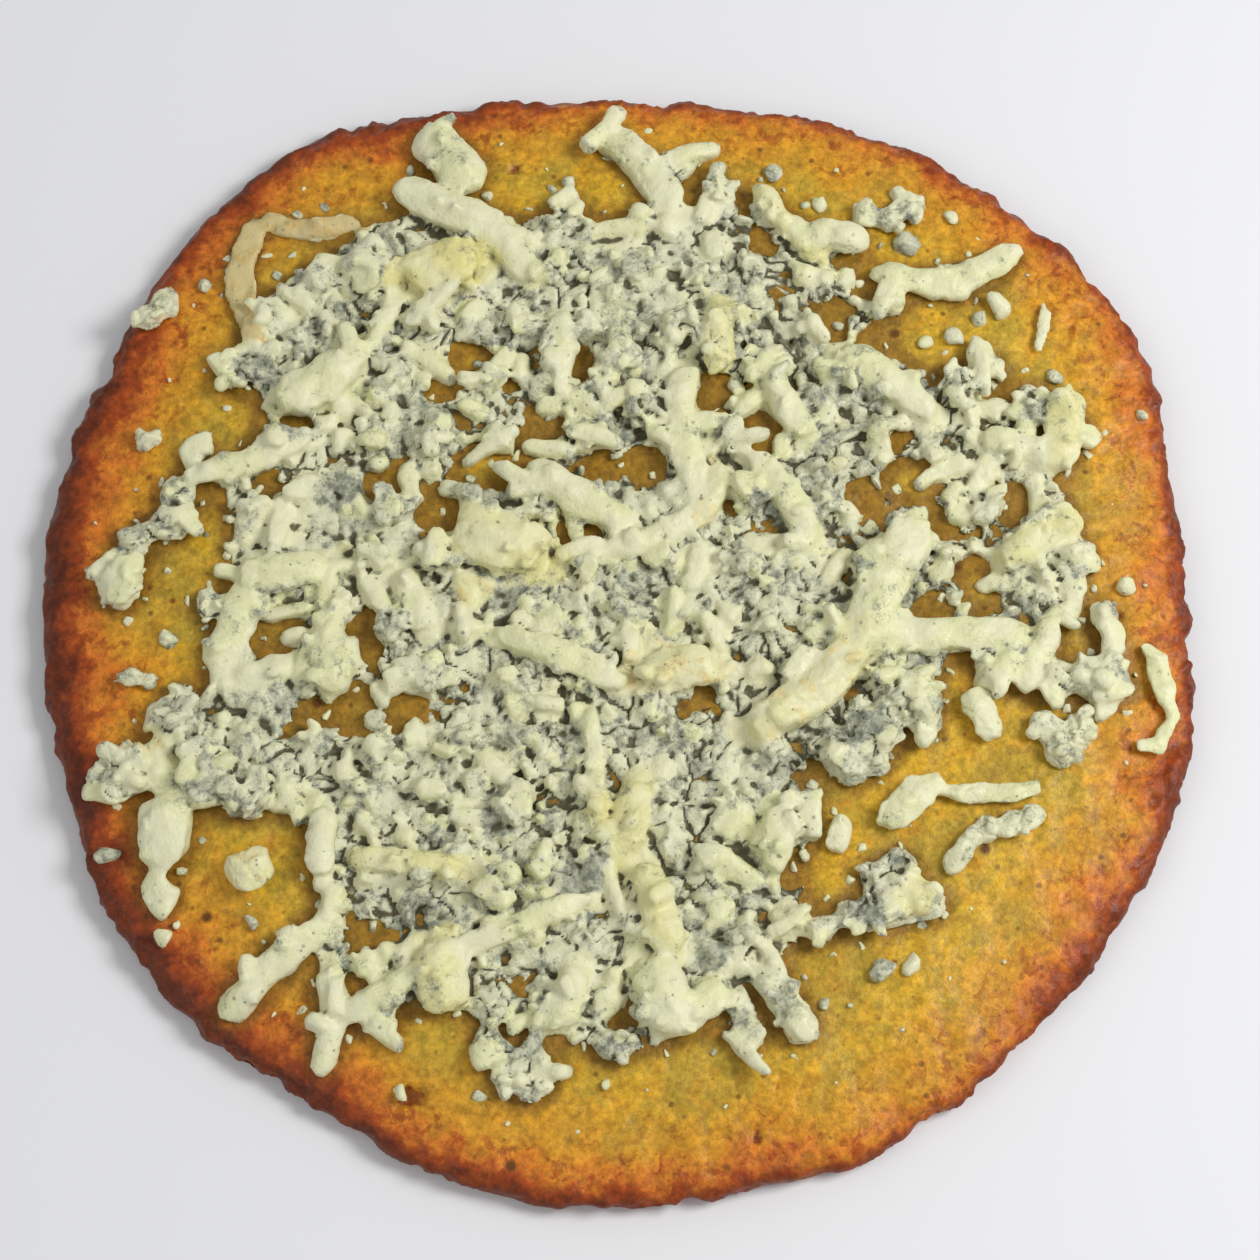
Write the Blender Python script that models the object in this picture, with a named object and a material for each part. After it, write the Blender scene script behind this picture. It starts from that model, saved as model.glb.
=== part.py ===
"""A large round potato pancake, fried until its rim is dark, under grated and crumbled blue cheese
that has melted together.

The pancake is one solid, with the smallest loose crumbs fused to its top. The melted cheese is one
solid too: a thin sheet with gaps, and the shreds, lumps and crumbs that show are fused to it. The
pieces of cheese that lie apart are solids of their own. Everything rests on the pancake's top with
a small gap.

The sizes below are in millimetres and the scene is in metres. +Z is up, +Y is the far side. The
origin is the middle of the pancake's outline, on the surface that it rests on.
"""

import math
import random

import bmesh
import bpy
from mathutils import Matrix, Vector, noise
from mathutils.geometry import delaunay_2d_cdt

MM = 0.001

# The pancake.
RIM_REACH = (  # from the origin to the rim, every 15 degrees anticlockwise from +X
    95.2, 97.2, 102.6, 102.4, 101.0, 98.0, 96.6, 98.4, 103.2, 102.4, 99.0, 97.4,
    95.4, 94.0, 95.6, 95.0, 93.4, 95.6, 96.4, 96.4, 97.0, 95.8, 96.2, 96.8,
)
RIM_PROFILE = (  # (distance in from the rim's reach, height), from the underside to the top
    (4.2, 0.0), (1.3, 0.9), (0.0, 2.5), (0.5, 4.2), (2.3, 5.5),
)
RIM_POINTS = 144
RIM_CRAG, RIM_CRAG_LENGTH = 1.2, 5.0  # how far the crisp edge wanders in and out, and over what length
RIM_SWAY, RIM_SWAY_LENGTH = 0.75, 13.0  # its slower wander
RIM_LIFT = 0.35  # its wander up and down
UNDERSIDE_CRAG = 0.4  # share of the wander that is left where the underside is flat
SHOULDER = 5.0  # where the top's even slope begins, in from the rim
SHOULDER_HEIGHT = 6.0
MIDDLE_HEIGHT = 8.2
SLOPE_WIDTH = 22.0
SWELL, SWELL_LENGTH = 0.44, 46.0  # the slow unevenness of the top
TOP_GRID = 12.0
UNDERSIDE_GRID = 30.0
GRID_MARGIN = 0.75  # shares of its spacing that a grid stays inside the shoulder

# The cheese.
REST_GAP = 0.38  # between the pancake's top and whatever rests on it
SHEET_REACH = (  # from the origin to the melted sheet's edge, every 10 degrees
    75, 79, 79, 77, 68, 69, 76, 79, 76, 73, 74, 79, 82, 81, 84, 69, 70, 66,
    65, 68, 74, 63, 62, 76, 76, 70, 70, 71, 71, 66, 61, 50, 44, 46, 47, 54,
)
SHEET_POINTS = 78
SHEET_WANDER, SHEET_WANDER_LENGTH = 2.88, 8.0  # how far its edge wanders in and out
SHEET_MIDDLE = 1.5  # thickness inside
SHEET_UNEVEN, SHEET_UNEVEN_LENGTH = 0.5, 9.0
SHEET_EDGE = 0.9
SHEET_GRID = 10.5
SHEET_GRID_INSIDE = 1.05  # a grid point stays inside even when it is this much further out
GAP_CLEARANCE = 2.4  # from a gap to the nearest grid point
GAP_SIDES = 6
GAP_TURN = 0.3  # of a side
GAP_UNEVEN, GAP_UNEVEN_LENGTH = 0.44, 6.0

# Gaps in the sheet, through which the pancake shows: x, y and radius.
GAPS = (
    (24.5, 67.5, 2.4), (36.5, 53.0, 3.6), (43.0, 49.5, 1.7), (16.0, 41.0, 3.6), (24.0, 32.5, 4.0),
    (24.0, 42.0, 2.0), (-6.0, 45.5, 2.8), (-24.0, 45.0, 3.8), (-29.5, 42.0, 2.8),
    (-18.5, 42.5, 2.0), (-12.0, 35.0, 2.8), (-16.5, 31.5, 2.4), (-22.5, 27.0, 5.2),
    (-15.0, 27.5, 2.4), (-29.5, 19.0, 3.6), (-2.0, 27.0, 2.8), (5.0, 27.5, 3.2),
    (-6.5, 15.0, 3.3), (20.0, 20.0, 2.0), (-54.0, 33.0, 3.0), (-38.5, 24.0, 3.2),
    (-58.0, 23.0, 2.8), (-57.0, -2.5, 3.9), (-41.5, -2.5, 3.6), (-43.0, -14.0, 3.6),
    (-50.0, -16.0, 2.6), (-35.0, -16.0, 3.4), (50.0, 24.5, 4.6), (41.0, 22.0, 2.6),
    (54.5, 17.5, 2.4), (66.0, 21.0, 3.6), (59.0, 9.0, 2.4), (60.5, 4.0, 3.2), (52.0, 2.0, 2.5),
    (46.5, 33.0, 2.0), (74.0, -6.0, 2.2), (57.5, -8.5, 3.0), (44.5, -23.5, 3.0),
    (31.5, -27.0, 2.8), (33.0, -43.0, 2.6), (28.5, -42.0, 2.8), (1.0, -66.0, 2.2),
    (-40.0, -54.0, 3.3), (-41.0, -61.0, 2.4), (14.5, -13.0, 1.6), (40.5, 9.5, 1.8),
)

# Shreds of grated cheese: the path's points (x, y), the width, and how far it is raised.
ON_PANCAKE, ON_SHEET, ON_TOP = 0.0, 1.3, 2.1
AS_FILM = -1.0  # melted flat
SHREDS = (
    (((-34, 88.5), (-29, 84), (-24.5, 76.5)), 9.0, ON_PANCAKE),
    (((-37.5, 78), (-29, 73), (-19, 69)), 6.4, ON_SHEET),
    (((-20, 70), (-18, 65), (-14, 61)), 5.4, ON_SHEET),
    (((-37, 61), (-30, 64), (-24.5, 64.5)), 6.0, ON_TOP),
    (((-3.5, 88.5), (3, 84), (10.5, 73)), 5.8, ON_PANCAKE),
    (((8, 79), (12, 82.5), (15, 85)), 3.4, ON_PANCAKE),
    (((24, 78), (28, 71.5), (34.5, 65)), 4.8, ON_SHEET),
    (((32, 69), (37, 68.5), (43, 67.5)), 6.0, ON_SHEET),
    (((43, 62.5), (56, 60), (69, 67)), 5.4, ON_PANCAKE),
    (((56, 61), (57.5, 58.5), (58, 56.5)), 4.2, ON_PANCAKE),
    (((38, 47), (44, 43), (53, 35.5)), 6.0, ON_SHEET),
    (((61, 31.5), (67, 31), (73, 27.5)), 4.6, ON_SHEET),
    (((76, 40.5), (74.5, 33), (75, 26)), 5.8, ON_SHEET),
    (((64, 9.5), (70, 14), (77.5, 17.5)), 6.2, ON_SHEET),
    (((50.5, 17), (43.5, 4), (39.5, -5)), 7.6, ON_TOP),
    (((40, -4), (34, -12), (21.5, -19.5)), 7.2, ON_TOP),
    (((40, -4), (52, -3), (67, -2.5)), 5.8, ON_SHEET),
    (((72, 0), (69.5, -6), (66, -13)), 4.6, ON_SHEET),
    (((80, -1), (82, -3), (80, -7)), 4.0, ON_SHEET),
    (((26, 44.5), (28, 38), (31, 32)), 5.2, ON_SHEET),
    (((22.5, 28.5), (28, 22), (32.5, 13.5)), 5.4, ON_SHEET),
    (((17.5, 55.5), (17, 49), (17.5, 43.5)), 5.2, ON_TOP),
    (((11.5, 44), (11, 35), (13, 22)), 5.6, ON_SHEET),
    (((-9.2, 54), (-8.8, 47), (-9.2, 39)), 3.8, ON_TOP),
    (((-14.5, 26.5), (-8, 22), (1, 16.5)), 6.4, ON_SHEET),
    (((-2.5, 11.5), (7, 14), (16, 20)), 4.8, ON_SHEET),
    (((16.5, 27), (17, 22), (14, 17)), 3.4, ON_TOP),
    (((-27, 15.5), (-19, 13), (-12, 10)), 9.0, ON_SHEET),
    (((-20, -3), (-10, -6), (1.5, -12)), 4.8, ON_TOP),
    (((-27, -11), (-33, -9), (-38, -13)), 4.6, ON_SHEET),
    (((4, -9.5), (11, -9), (16, -8)), 7.4, ON_SHEET),
    (((-4.6, -16), (-3.4, -26), (-3, -37)), 3.4, ON_TOP),
    (((3.5, -28), (2.5, -34), (2, -40)), 6.0, ON_SHEET),
    (((4.5, -42), (7, -50), (8.5, -57)), 6.2, ON_TOP),
    (((5, -58), (8, -64), (9.5, -70)), 8.6, ON_SHEET),
    (((8, -69), (13, -66), (17, -61)), 6.2, ON_SHEET),
    (((19, -61), (20.5, -68), (20.5, -73.5)), 4.6, ON_PANCAKE),
    (((23, -58), (27, -64), (31, -71)), 6.6, ON_PANCAKE),
    (((-56.5, 38), (-50, 41), (-43.5, 46)), 8.0, ON_SHEET),
    (((-46, 42), (-41, 49), (-37.5, 57)), 4.4, ON_SHEET),
    (((-71, 25), (-62, 27), (-50.5, 32.5)), 4.6, ON_SHEET),
    (((-71, 26), (-70.5, 30.5), (-67, 31)), 3.8, ON_PANCAKE),
    (((-60, 10), (-57, 7.5), (-48, 9.5)), 6.0, ON_SHEET),
    (((-60, 7), (-62.5, -1), (-66, -9.5)), 6.6, ON_PANCAKE),
    (((-67, -10), (-60, -10), (-53, -7.5)), 4.8, ON_PANCAKE),
    (((-48, -2), (-47, -7), (-45.5, -13)), 7.2, ON_SHEET),
    (((-36, 8), (-33, 3), (-31, -2)), 5.4, ON_SHEET),
    (((-76, -21), (-74.5, -25), (-72, -29)), 6.6, ON_PANCAKE),
    (((-73.5, -30), (-73, -36), (-75, -42)), 9.6, ON_PANCAKE),
    (((-75.5, -43), (-73.5, -47), (-71, -48.5)), 5.6, ON_PANCAKE),
    (((-47, -33), (-47.5, -38), (-48, -44)), 4.6, ON_TOP),
    (((-43, -41), (-34, -41.5), (-24.5, -43)), 4.6, ON_TOP),
    (((-47, -51), (-57, -60), (-63, -67)), 5.6, ON_PANCAKE),
    (((-46.5, -58), (-45, -67), (-47.5, -76)), 5.0, ON_PANCAKE),
    (((-44, -67), (-38, -63.5), (-31, -59)), 5.0, ON_SHEET),
    (((-28.5, -55), (-28, -60), (-27, -66.5)), 8.8, ON_SHEET),
    (((-27, -57), (-16, -52.5), (-4, -47.5)), 4.2, ON_TOP),
    (((-6, -59), (-8, -64), (-8.5, -69)), 6.0, ON_SHEET),
    (((26, -32), (26.5, -37), (25, -43)), 6.4, ON_SHEET),
    (((-63, 57), (-64.5, 64), (-61, 73)), 4.0, AS_FILM),
    (((-61, 73), (-54, 70.5), (-43.5, 71.5)), 3.2, AS_FILM),
)

# Lumps of crumbled cheese: x, y, radius, and how far it is raised.
LUMPS = (
    (-82.0, 6.5, 5.4, ON_PANCAKE), (-80.0, 14.0, 3.8, ON_PANCAKE), (-74.5, 16.5, 4.2, ON_PANCAKE),
    (-73.0, 22.0, 3.8, ON_PANCAKE), (-79.8, -26.0, 5.2, ON_PANCAKE), (-72.0, -17.5, 4.8, ON_PANCAKE),
    (-71.0, -12.0, 2.6, ON_PANCAKE), (-66.0, -26.0, 5.4, ON_PANCAKE), (-60.0, -30.0, 5.2, ON_PANCAKE),
    (-64.5, 44.5, 4.2, ON_PANCAKE), (-67.5, 2.5, 3.4, ON_PANCAKE), (-38.0, 69.0, 3.0, ON_PANCAKE),
    (-42.0, 62.5, 4.6, ON_SHEET), (17.3, 77.5, 4.0, ON_PANCAKE), (4.5, 73.0, 3.0, ON_PANCAKE),
    (-8.0, 74.0, 3.6, ON_PANCAKE), (-12.0, 71.0, 3.2, ON_PANCAKE), (46.0, 56.0, 3.6, ON_PANCAKE),
    (62.5, 45.5, 4.0, ON_PANCAKE), (57.5, 41.5, 4.2, ON_SHEET), (70.0, 38.0, 4.4, ON_PANCAKE),
    (78.0, 33.5, 3.0, ON_PANCAKE), (76.0, 11.0, 4.2, ON_PANCAKE), (80.5, 1.0, 3.6, ON_PANCAKE),
    (79.5, -10.5, 5.2, ON_PANCAKE), (72.0, -10.5, 4.4, ON_PANCAKE), (63.0, -6.5, 4.6, ON_PANCAKE),
    (48.0, -14.0, 5.6, ON_PANCAKE), (42.0, -18.5, 4.8, ON_PANCAKE), (50.5, -18.0, 4.0, ON_PANCAKE),
    (38.5, -26.0, 3.8, ON_PANCAKE), (42.0, -24.5, 3.4, ON_PANCAKE), (42.0, -43.5, 4.2, ON_PANCAKE),
    (46.0, -41.0, 3.6, ON_PANCAKE), (44.0, -48.0, 4.8, ON_PANCAKE), (49.0, -47.5, 4.6, ON_PANCAKE),
    (38.5, -50.5, 4.0, ON_PANCAKE), (33.0, -52.5, 3.8, ON_PANCAKE), (29.0, -50.0, 3.6, ON_PANCAKE),
    (-20.0, -66.0, 3.6, ON_PANCAKE), (-19.5, -71.5, 3.6, ON_PANCAKE), (-18.0, -76.5, 3.2, ON_PANCAKE),
    (-13.0, -72.5, 3.6, ON_PANCAKE), (-14.0, -78.5, 3.2, ON_PANCAKE), (-11.0, -77.0, 2.6, ON_PANCAKE),
    (-0.5, -71.5, 3.6, ON_PANCAKE),
    (-37.0, -66.5, 3.2, ON_PANCAKE), (-19.0, -45.5, 4.2, ON_TOP), (4.5, 37.5, 4.2, ON_SHEET),
    (-2.5, 39.5, 3.4, ON_SHEET), (13.0, 52.5, 3.6, ON_SHEET), (0.5, 46.5, 4.4, ON_SHEET),
    (-51.0, 60.5, 4.4, ON_PANCAKE), (-59.0, 54.0, 4.4, ON_PANCAKE),
)

# Pieces that lie apart: the node's name, its shreds (as above) and its lumps (x, y, radius).
APART = (
    ("cheese_lump_far_right", (), ((42.8, 72.8, 2.9), (46.6, 72.4, 3.0), (50.0, 75.0, 3.2))),
    ("cheese_sliver_far_right", ((((72.6, 57.5), (72, 53), (71.6, 47.8)), 2.4, ON_PANCAKE),), ()),
    ("cheese_hook_right", (
        (((87, -3.5), (89.5, -9), (90, -14)), 4.2, ON_PANCAKE),
        (((90, -12), (91, -19), (85, -21.5)), 3.4, ON_PANCAKE),
    ), ()),
    ("cheese_lump_right", (), ((70.6, -18.5, 3.6), (76.0, -19.0, 3.6), (72.6, -22.6, 3.4))),
    ("cheese_chunk_right", ((((57.6, -12.4), (60, -16.5), (62, -20.6)), 6.0, ON_PANCAKE),), ()),
    ("cheese_strand_near_right", (
        (((43.5, -35.5), (47, -31.5), (53, -27)), 6.2, ON_PANCAKE),
        (((51, -28.6), (60, -30), (69.5, -28.5)), 3.6, ON_PANCAKE),
    ), ()),
    ("cheese_cluster_near_right", ((((54.8, -43), (56, -38.5), (60, -36)), 4.6, ON_PANCAKE),), (
        (60.4, -35.6, 3.2), (64.2, -34.8, 3.2), (67.4, -33.6, 2.8),
    )),
    ("cheese_oval_near_right", ((((37, -33.6), (36, -37), (35.4, -39.6)), 4.6, ON_PANCAKE),), ()),
    ("cheese_chunk_near_left", ((((-62, -44.6), (-59, -42.5), (-56, -41)), 7.4, ON_PANCAKE),), ()),
    ("cheese_pair_left", (), ((-80.0, -9.6, 2.2), (-76.6, -10.4, 2.0))),
    ("cheese_crumb_left", (), ((-73.6, -3.0, 2.2),)),
    ("cheese_crumb_far_left", (), ((-78.6, 32.0, 2.9),)),
    ("cheese_blob_far_left", (), ((-79.6, 54.6, 3.2), (-76.6, 57.4, 3.2))),
)

# Small loose crumbs, fused to the pancake: x, y and radius.
LOOSE_CRUMBS = (
    (-70.0, 60.6, 1.2), (-8.0, 79.2, 1.1), (27.0, 81.0, 1.5), (34.5, 75.2, 1.4), (57.0, 73.2, 1.1),
    (49.5, 67.6, 2.0), (65.0, 56.4, 2.0), (61.6, 53.8, 1.3), (57.0, 50.4, 1.7), (52.0, 49.6, 1.2),
    (73.6, 43.6, 1.3), (88.4, 37.4, 1.1), (84.2, 6.6, 1.6), (-82.6, -39.4, 1.8),
    (-73.2, -53.2, 1.7), (-34.4, -78.6, 1.3), (42.6, -58.6, 1.9), (47.2, -58.0, 1.6),
    (-58.6, -50.8, 1.2), (33.4, -64.4, 0.9), (-1.6, -77.4, 0.9),
)

# Crumbs strewn over the sheet by rule.
CRUMB_SPACING = 12.2
CRUMB_RADIUS = (2.3, 3.7)
CRUMB_DRIFT = 2.6
CRUMB_INSIDE = 1.04

KEPT_SHARE = 0.68  # of the fused cheese's triangles

# How a piece of cheese is shaped. Its axis is the height of its fullest part.
SHRED_SECTION = 5  # corners
SHRED_STATIONS = ((0.0, 0.6), (0.24, 1.0), (0.76, 1.0), (1.0, 0.6))  # (place along it, share of width)
SHRED_FLATNESS = 0.52  # thickness over width
SHRED_FULLER, SHRED_HIGHER = 1.08, 0.62  # a section's corners lie outside its width and thickness
SHRED_ROUGH, SHRED_ROUGH_LENGTH = 0.14, 5.0
FILM_THICKNESS = 0.9
FILM_BURY = 0.4
LUMP_FLATNESS = 0.62
LUMP_LONGER, LUMP_WIDER = (0.95, 1.2), (0.82, 1.0)
LUMP_ROUGH, LUMP_ROUGH_LENGTH = 0.32, 6.0
LUMP_ROUGH_SPAN = 9.0  # how much of the noise one radius covers
FINER_OVER = 4.5  # lumps of a larger radius have more faces
AXIS_HEIGHT = 0.45  # of the piece's thickness or flattened radius
CUT_UNDER = -0.3  # what lies lower than this share of a section is cut off as the underside
SINK = 1.2  # how deep a fused crumb reaches into the pancake
LOOSE_RAISED = 0.6
BURY = (0.05, 0.45)  # undersides end at heights in this range over the gap, no two alike

# Places in the noise, so that each use of it differs.
SWELL_NOISE, CRAG_NOISE, SWAY_NOISE, LIFT_NOISE = 3.0, 0.0, 40.0, 90.0
CRAG_RING_STEP, SWAY_RING_STEP, LIFT_RING_STEP = 7.0, 5.0, 1.0
EDGE_NOISE, GAP_NOISE, SHEET_NOISE = 5.0, 1.0, 20.0
GAP_NOISE_REACH = 9.0
PLACES_PER_MM, PLACE_STRIDE = 100, 7919

PANCAKE_COLOUR, PANCAKE_ROUGHNESS = (0.52, 0.27, 0.06), 0.45
CHEESE_COLOUR, CHEESE_ROUGHNESS = (0.72, 0.71, 0.52), 0.4


def clear_scene():
    """Removes every object that the file opened with."""
    for item in list(bpy.data.objects):
        bpy.data.objects.remove(item)


def material(name, colour, roughness):
    """A Principled BSDF of one colour."""
    made = bpy.data.materials.new(name)
    made.use_nodes = True
    shader = made.node_tree.nodes["Principled BSDF"]
    shader.inputs["Base Color"].default_value = (*colour, 1.0)
    shader.inputs["Roughness"].default_value = roughness
    return made


def dome(t):
    """Rises from 0 to 1, steepest at the start and level at the end."""
    t = min(1.0, max(0.0, t))
    return t * (2.0 - t)


def around(reaches, angle):
    """A reach at any angle, by a periodic Catmull-Rom curve through evenly spaced ones."""
    count = len(reaches)
    place = (angle / (2 * math.pi) * count) % count
    i, t = int(place), place - int(place)
    a, b, c, d = (reaches[(i + k) % count] for k in (-1, 0, 1, 2))
    return b + 0.5 * t * (c - a + t * (2 * a - 5 * b + 4 * c - d + t * (3 * (b - c) + d - a)))


def draws(x, y):
    """A seeded source of random numbers that belongs to one place."""
    return random.Random(round(x * PLACES_PER_MM) * PLACE_STRIDE + round(y * PLACES_PER_MM))


def wander(x, y, z, length):
    """Smooth noise between -1 and 1 that changes over the given length."""
    return noise.noise(Vector((x / length, y / length, z / length)))


def top_height(x, y):
    """Height of the pancake's top, without its rim."""
    inward = around(RIM_REACH, math.atan2(y, x)) - math.hypot(x, y)
    slope = dome((inward - SHOULDER) / SLOPE_WIDTH)
    swell = SWELL * wander(x, y, SWELL_NOISE, SWELL_LENGTH) * slope
    return SHOULDER_HEIGHT + (MIDDLE_HEIGHT - SHOULDER_HEIGHT) * slope + swell


def new_object(name, mesh_data):
    """An object for a bmesh whose coordinates are in millimetres."""
    bmesh.ops.recalc_face_normals(mesh_data, faces=mesh_data.faces)
    if mesh_data.calc_volume(signed=True) < 0:
        bmesh.ops.reverse_faces(mesh_data, faces=mesh_data.faces)
    mesh_data.transform(Matrix.Scale(MM, 4))
    mesh = bpy.data.meshes.new(name)
    mesh_data.to_mesh(mesh)
    mesh_data.free()
    made = bpy.data.objects.new(name, mesh)
    bpy.context.scene.collection.objects.link(made)
    return made


def hex_grid(spacing, reach):
    """Points of a triangular grid within the reach of the origin."""
    row_step = spacing * math.sqrt(3) / 2
    rows = int(reach / row_step) + 1
    for row in range(-rows, rows + 1):
        shift = spacing / 2 if row % 2 else 0.0
        for column in range(-rows - 1, rows + 2):
            x, y = column * spacing + shift, row * row_step
            if math.hypot(x, y) < reach:
                yield x, y


def rim_ring(inset, height, ring):
    """One ring of the rim's points, with the crags of a fried edge."""
    points = []
    for step in range(RIM_POINTS):
        angle = 2 * math.pi * step / RIM_POINTS
        reach = around(RIM_REACH, angle)
        x, y = reach * math.cos(angle), reach * math.sin(angle)
        crag = RIM_CRAG * wander(x, y, CRAG_NOISE + CRAG_RING_STEP * ring, RIM_CRAG_LENGTH)
        crag += RIM_SWAY * wander(x, y, SWAY_NOISE + SWAY_RING_STEP * ring, RIM_SWAY_LENGTH)
        lift = RIM_LIFT * wander(x, y, LIFT_NOISE + LIFT_RING_STEP * ring, RIM_CRAG_LENGTH)
        if height == 0.0:
            crag, lift = crag * UNDERSIDE_CRAG, 0.0
        out = (reach - inset + crag) / reach
        points.append((x * out, y * out, height + lift))
    return points


def fill_disc(shape, ring, spacing, height_at):
    """Fills a ring of vertices with triangles over an even grid of inner points."""
    margin = SHOULDER + GRID_MARGIN * spacing
    inner = [p for p in hex_grid(spacing, max(RIM_REACH))
             if around(RIM_REACH, math.atan2(p[1], p[0])) - math.hypot(*p) > margin]
    flat = [Vector((v.co.x, v.co.y)) for v in ring] + [Vector(p) for p in inner]
    edge = [(i, (i + 1) % len(ring)) for i in range(len(ring))]
    points, _, faces, origins, _, _ = delaunay_2d_cdt(flat, edge, [], 1, 1e-6)
    made = []
    for point, origin in zip(points, origins):
        if origin and origin[0] < len(ring):
            made.append(ring[origin[0]])
        else:
            made.append(shape.verts.new((point.x, point.y, height_at(point.x, point.y))))
    for face in faces:
        shape.faces.new([made[i] for i in face])


def pancake_body(finish):
    """The fried pancake: a flat underside, a craggy rim and a gently domed top."""
    shape = bmesh.new()
    rings = []
    for number, (inset, height) in enumerate(RIM_PROFILE):
        rings.append([shape.verts.new(p) for p in rim_ring(inset, height, number)])
    shoulder = []
    for step in range(RIM_POINTS):
        angle = 2 * math.pi * step / RIM_POINTS
        reach = around(RIM_REACH, angle) - SHOULDER
        x, y = reach * math.cos(angle), reach * math.sin(angle)
        shoulder.append(shape.verts.new((x, y, top_height(x, y))))
    rings.append(shoulder)
    for lower, upper in zip(rings, rings[1:]):
        for i in range(RIM_POINTS):
            k = (i + 1) % RIM_POINTS
            shape.faces.new((lower[i], lower[k], upper[k], upper[i]))
    fill_disc(shape, rings[0], UNDERSIDE_GRID, lambda x, y: 0.0)
    fill_disc(shape, rings[-1], TOP_GRID, top_height)
    made = new_object("potato_pancake", shape)
    made.data.materials.append(finish)
    return made


def lump(x, y, radius, raised, finer, gap=REST_GAP):
    """An uneven lump, flattened by melting, whose underside follows the pancake's top."""
    shape = bmesh.new()
    bmesh.ops.create_icosphere(shape, subdivisions=2 if finer else 1, radius=1.0)
    own = draws(x, y)
    turn = own.uniform(0.0, math.pi)
    longer, wider = own.uniform(*LUMP_LONGER), own.uniform(*LUMP_WIDER)
    base = gap + own.uniform(*BURY)
    axis_height = gap + raised + radius * LUMP_FLATNESS * AXIS_HEIGHT
    for vert in shape.verts:
        place = vert.co * LUMP_ROUGH_SPAN + Vector((x, y, 0.0))
        rough = 1.0 + LUMP_ROUGH * wander(*place, LUMP_ROUGH_LENGTH)
        along, across = vert.co.x * radius * longer * rough, vert.co.y * radius * wider * rough
        px = x + along * math.cos(turn) - across * math.sin(turn)
        py = y + along * math.sin(turn) + across * math.cos(turn)
        up = axis_height + vert.co.z * radius * LUMP_FLATNESS * rough
        up = base if vert.co.z < CUT_UNDER else max(base, up)
        vert.co = (px, py, top_height(px, py) + up)
    return new_object("lump", shape)


def shred(path, width, raised):
    """A shred of grated cheese along a bent path, with rounded ends and a flattened section."""
    start, middle, end = (Vector(p) for p in path)
    bend = 2 * middle - (start + end) / 2
    film = raised == AS_FILM
    thick = FILM_THICKNESS if film else width * SHRED_FLATNESS
    base = REST_GAP + draws(*start).uniform(*BURY) * (FILM_BURY if film else 1.0)
    axis_height = REST_GAP + (ON_PANCAKE if film else raised) + thick * AXIS_HEIGHT
    shape = bmesh.new()
    rings = []
    for t, share in SHRED_STATIONS:
        at = (1 - t) ** 2 * start + 2 * t * (1 - t) * bend + t * t * end
        heading = ((1 - t) * (bend - start) + t * (end - bend)).normalized()
        side = Vector((-heading.y, heading.x))
        share *= 1.0 + SHRED_ROUGH * wander(at.x, at.y, width, SHRED_ROUGH_LENGTH)
        ring = []
        for k in range(SHRED_SECTION):
            angle = 2 * math.pi * k / SHRED_SECTION + math.pi / 2
            spot = at + side * (width / 2 * SHRED_FULLER * share * math.cos(angle))
            up = axis_height + thick * SHRED_HIGHER * share * math.sin(angle)
            up = base if math.sin(angle) < CUT_UNDER else max(base, up)
            ring.append(shape.verts.new((spot.x, spot.y, top_height(*spot) + up)))
        rings.append(ring)
    for near, far in zip(rings, rings[1:]):
        for k in range(SHRED_SECTION):
            n = (k + 1) % SHRED_SECTION
            shape.faces.new((near[k], near[n], far[n], far[k]))
    shape.faces.new(rings[0])
    shape.faces.new(rings[-1])
    bmesh.ops.triangulate(shape, faces=shape.faces)
    return new_object("shred", shape)


def sheet_outline():
    """The melted sheet's uneven outline, as points around the origin."""
    points = []
    for step in range(SHEET_POINTS):
        angle = 2 * math.pi * step / SHEET_POINTS
        reach = around(SHEET_REACH, angle)
        x, y = reach * math.cos(angle), reach * math.sin(angle)
        reach += SHEET_WANDER * wander(x, y, EDGE_NOISE, SHEET_WANDER_LENGTH)
        points.append(Vector((reach * math.cos(angle), reach * math.sin(angle))))
    return points


def gap_outline(x, y, radius):
    """One gap's outline: a rounded, uneven polygon."""
    points = []
    for step in range(GAP_SIDES):
        angle = 2 * math.pi * (step + GAP_TURN) / GAP_SIDES
        away = Vector((math.cos(angle), math.sin(angle)))
        place = Vector((x, y)) + GAP_NOISE_REACH * away
        reach = radius * (1.0 + GAP_UNEVEN * wander(*place, GAP_NOISE, GAP_UNEVEN_LENGTH))
        points.append(Vector((x, y)) + reach * away)
    return points


def holds(outline, point):
    """Whether the outline holds the point."""
    inside = False
    for a, b in zip(outline, outline[1:] + outline[:1]):
        if (a.y > point.y) != (b.y > point.y):
            if point.x < (b.x - a.x) * (point.y - a.y) / (b.y - a.y) + a.x:
                inside = not inside
    return inside


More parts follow.
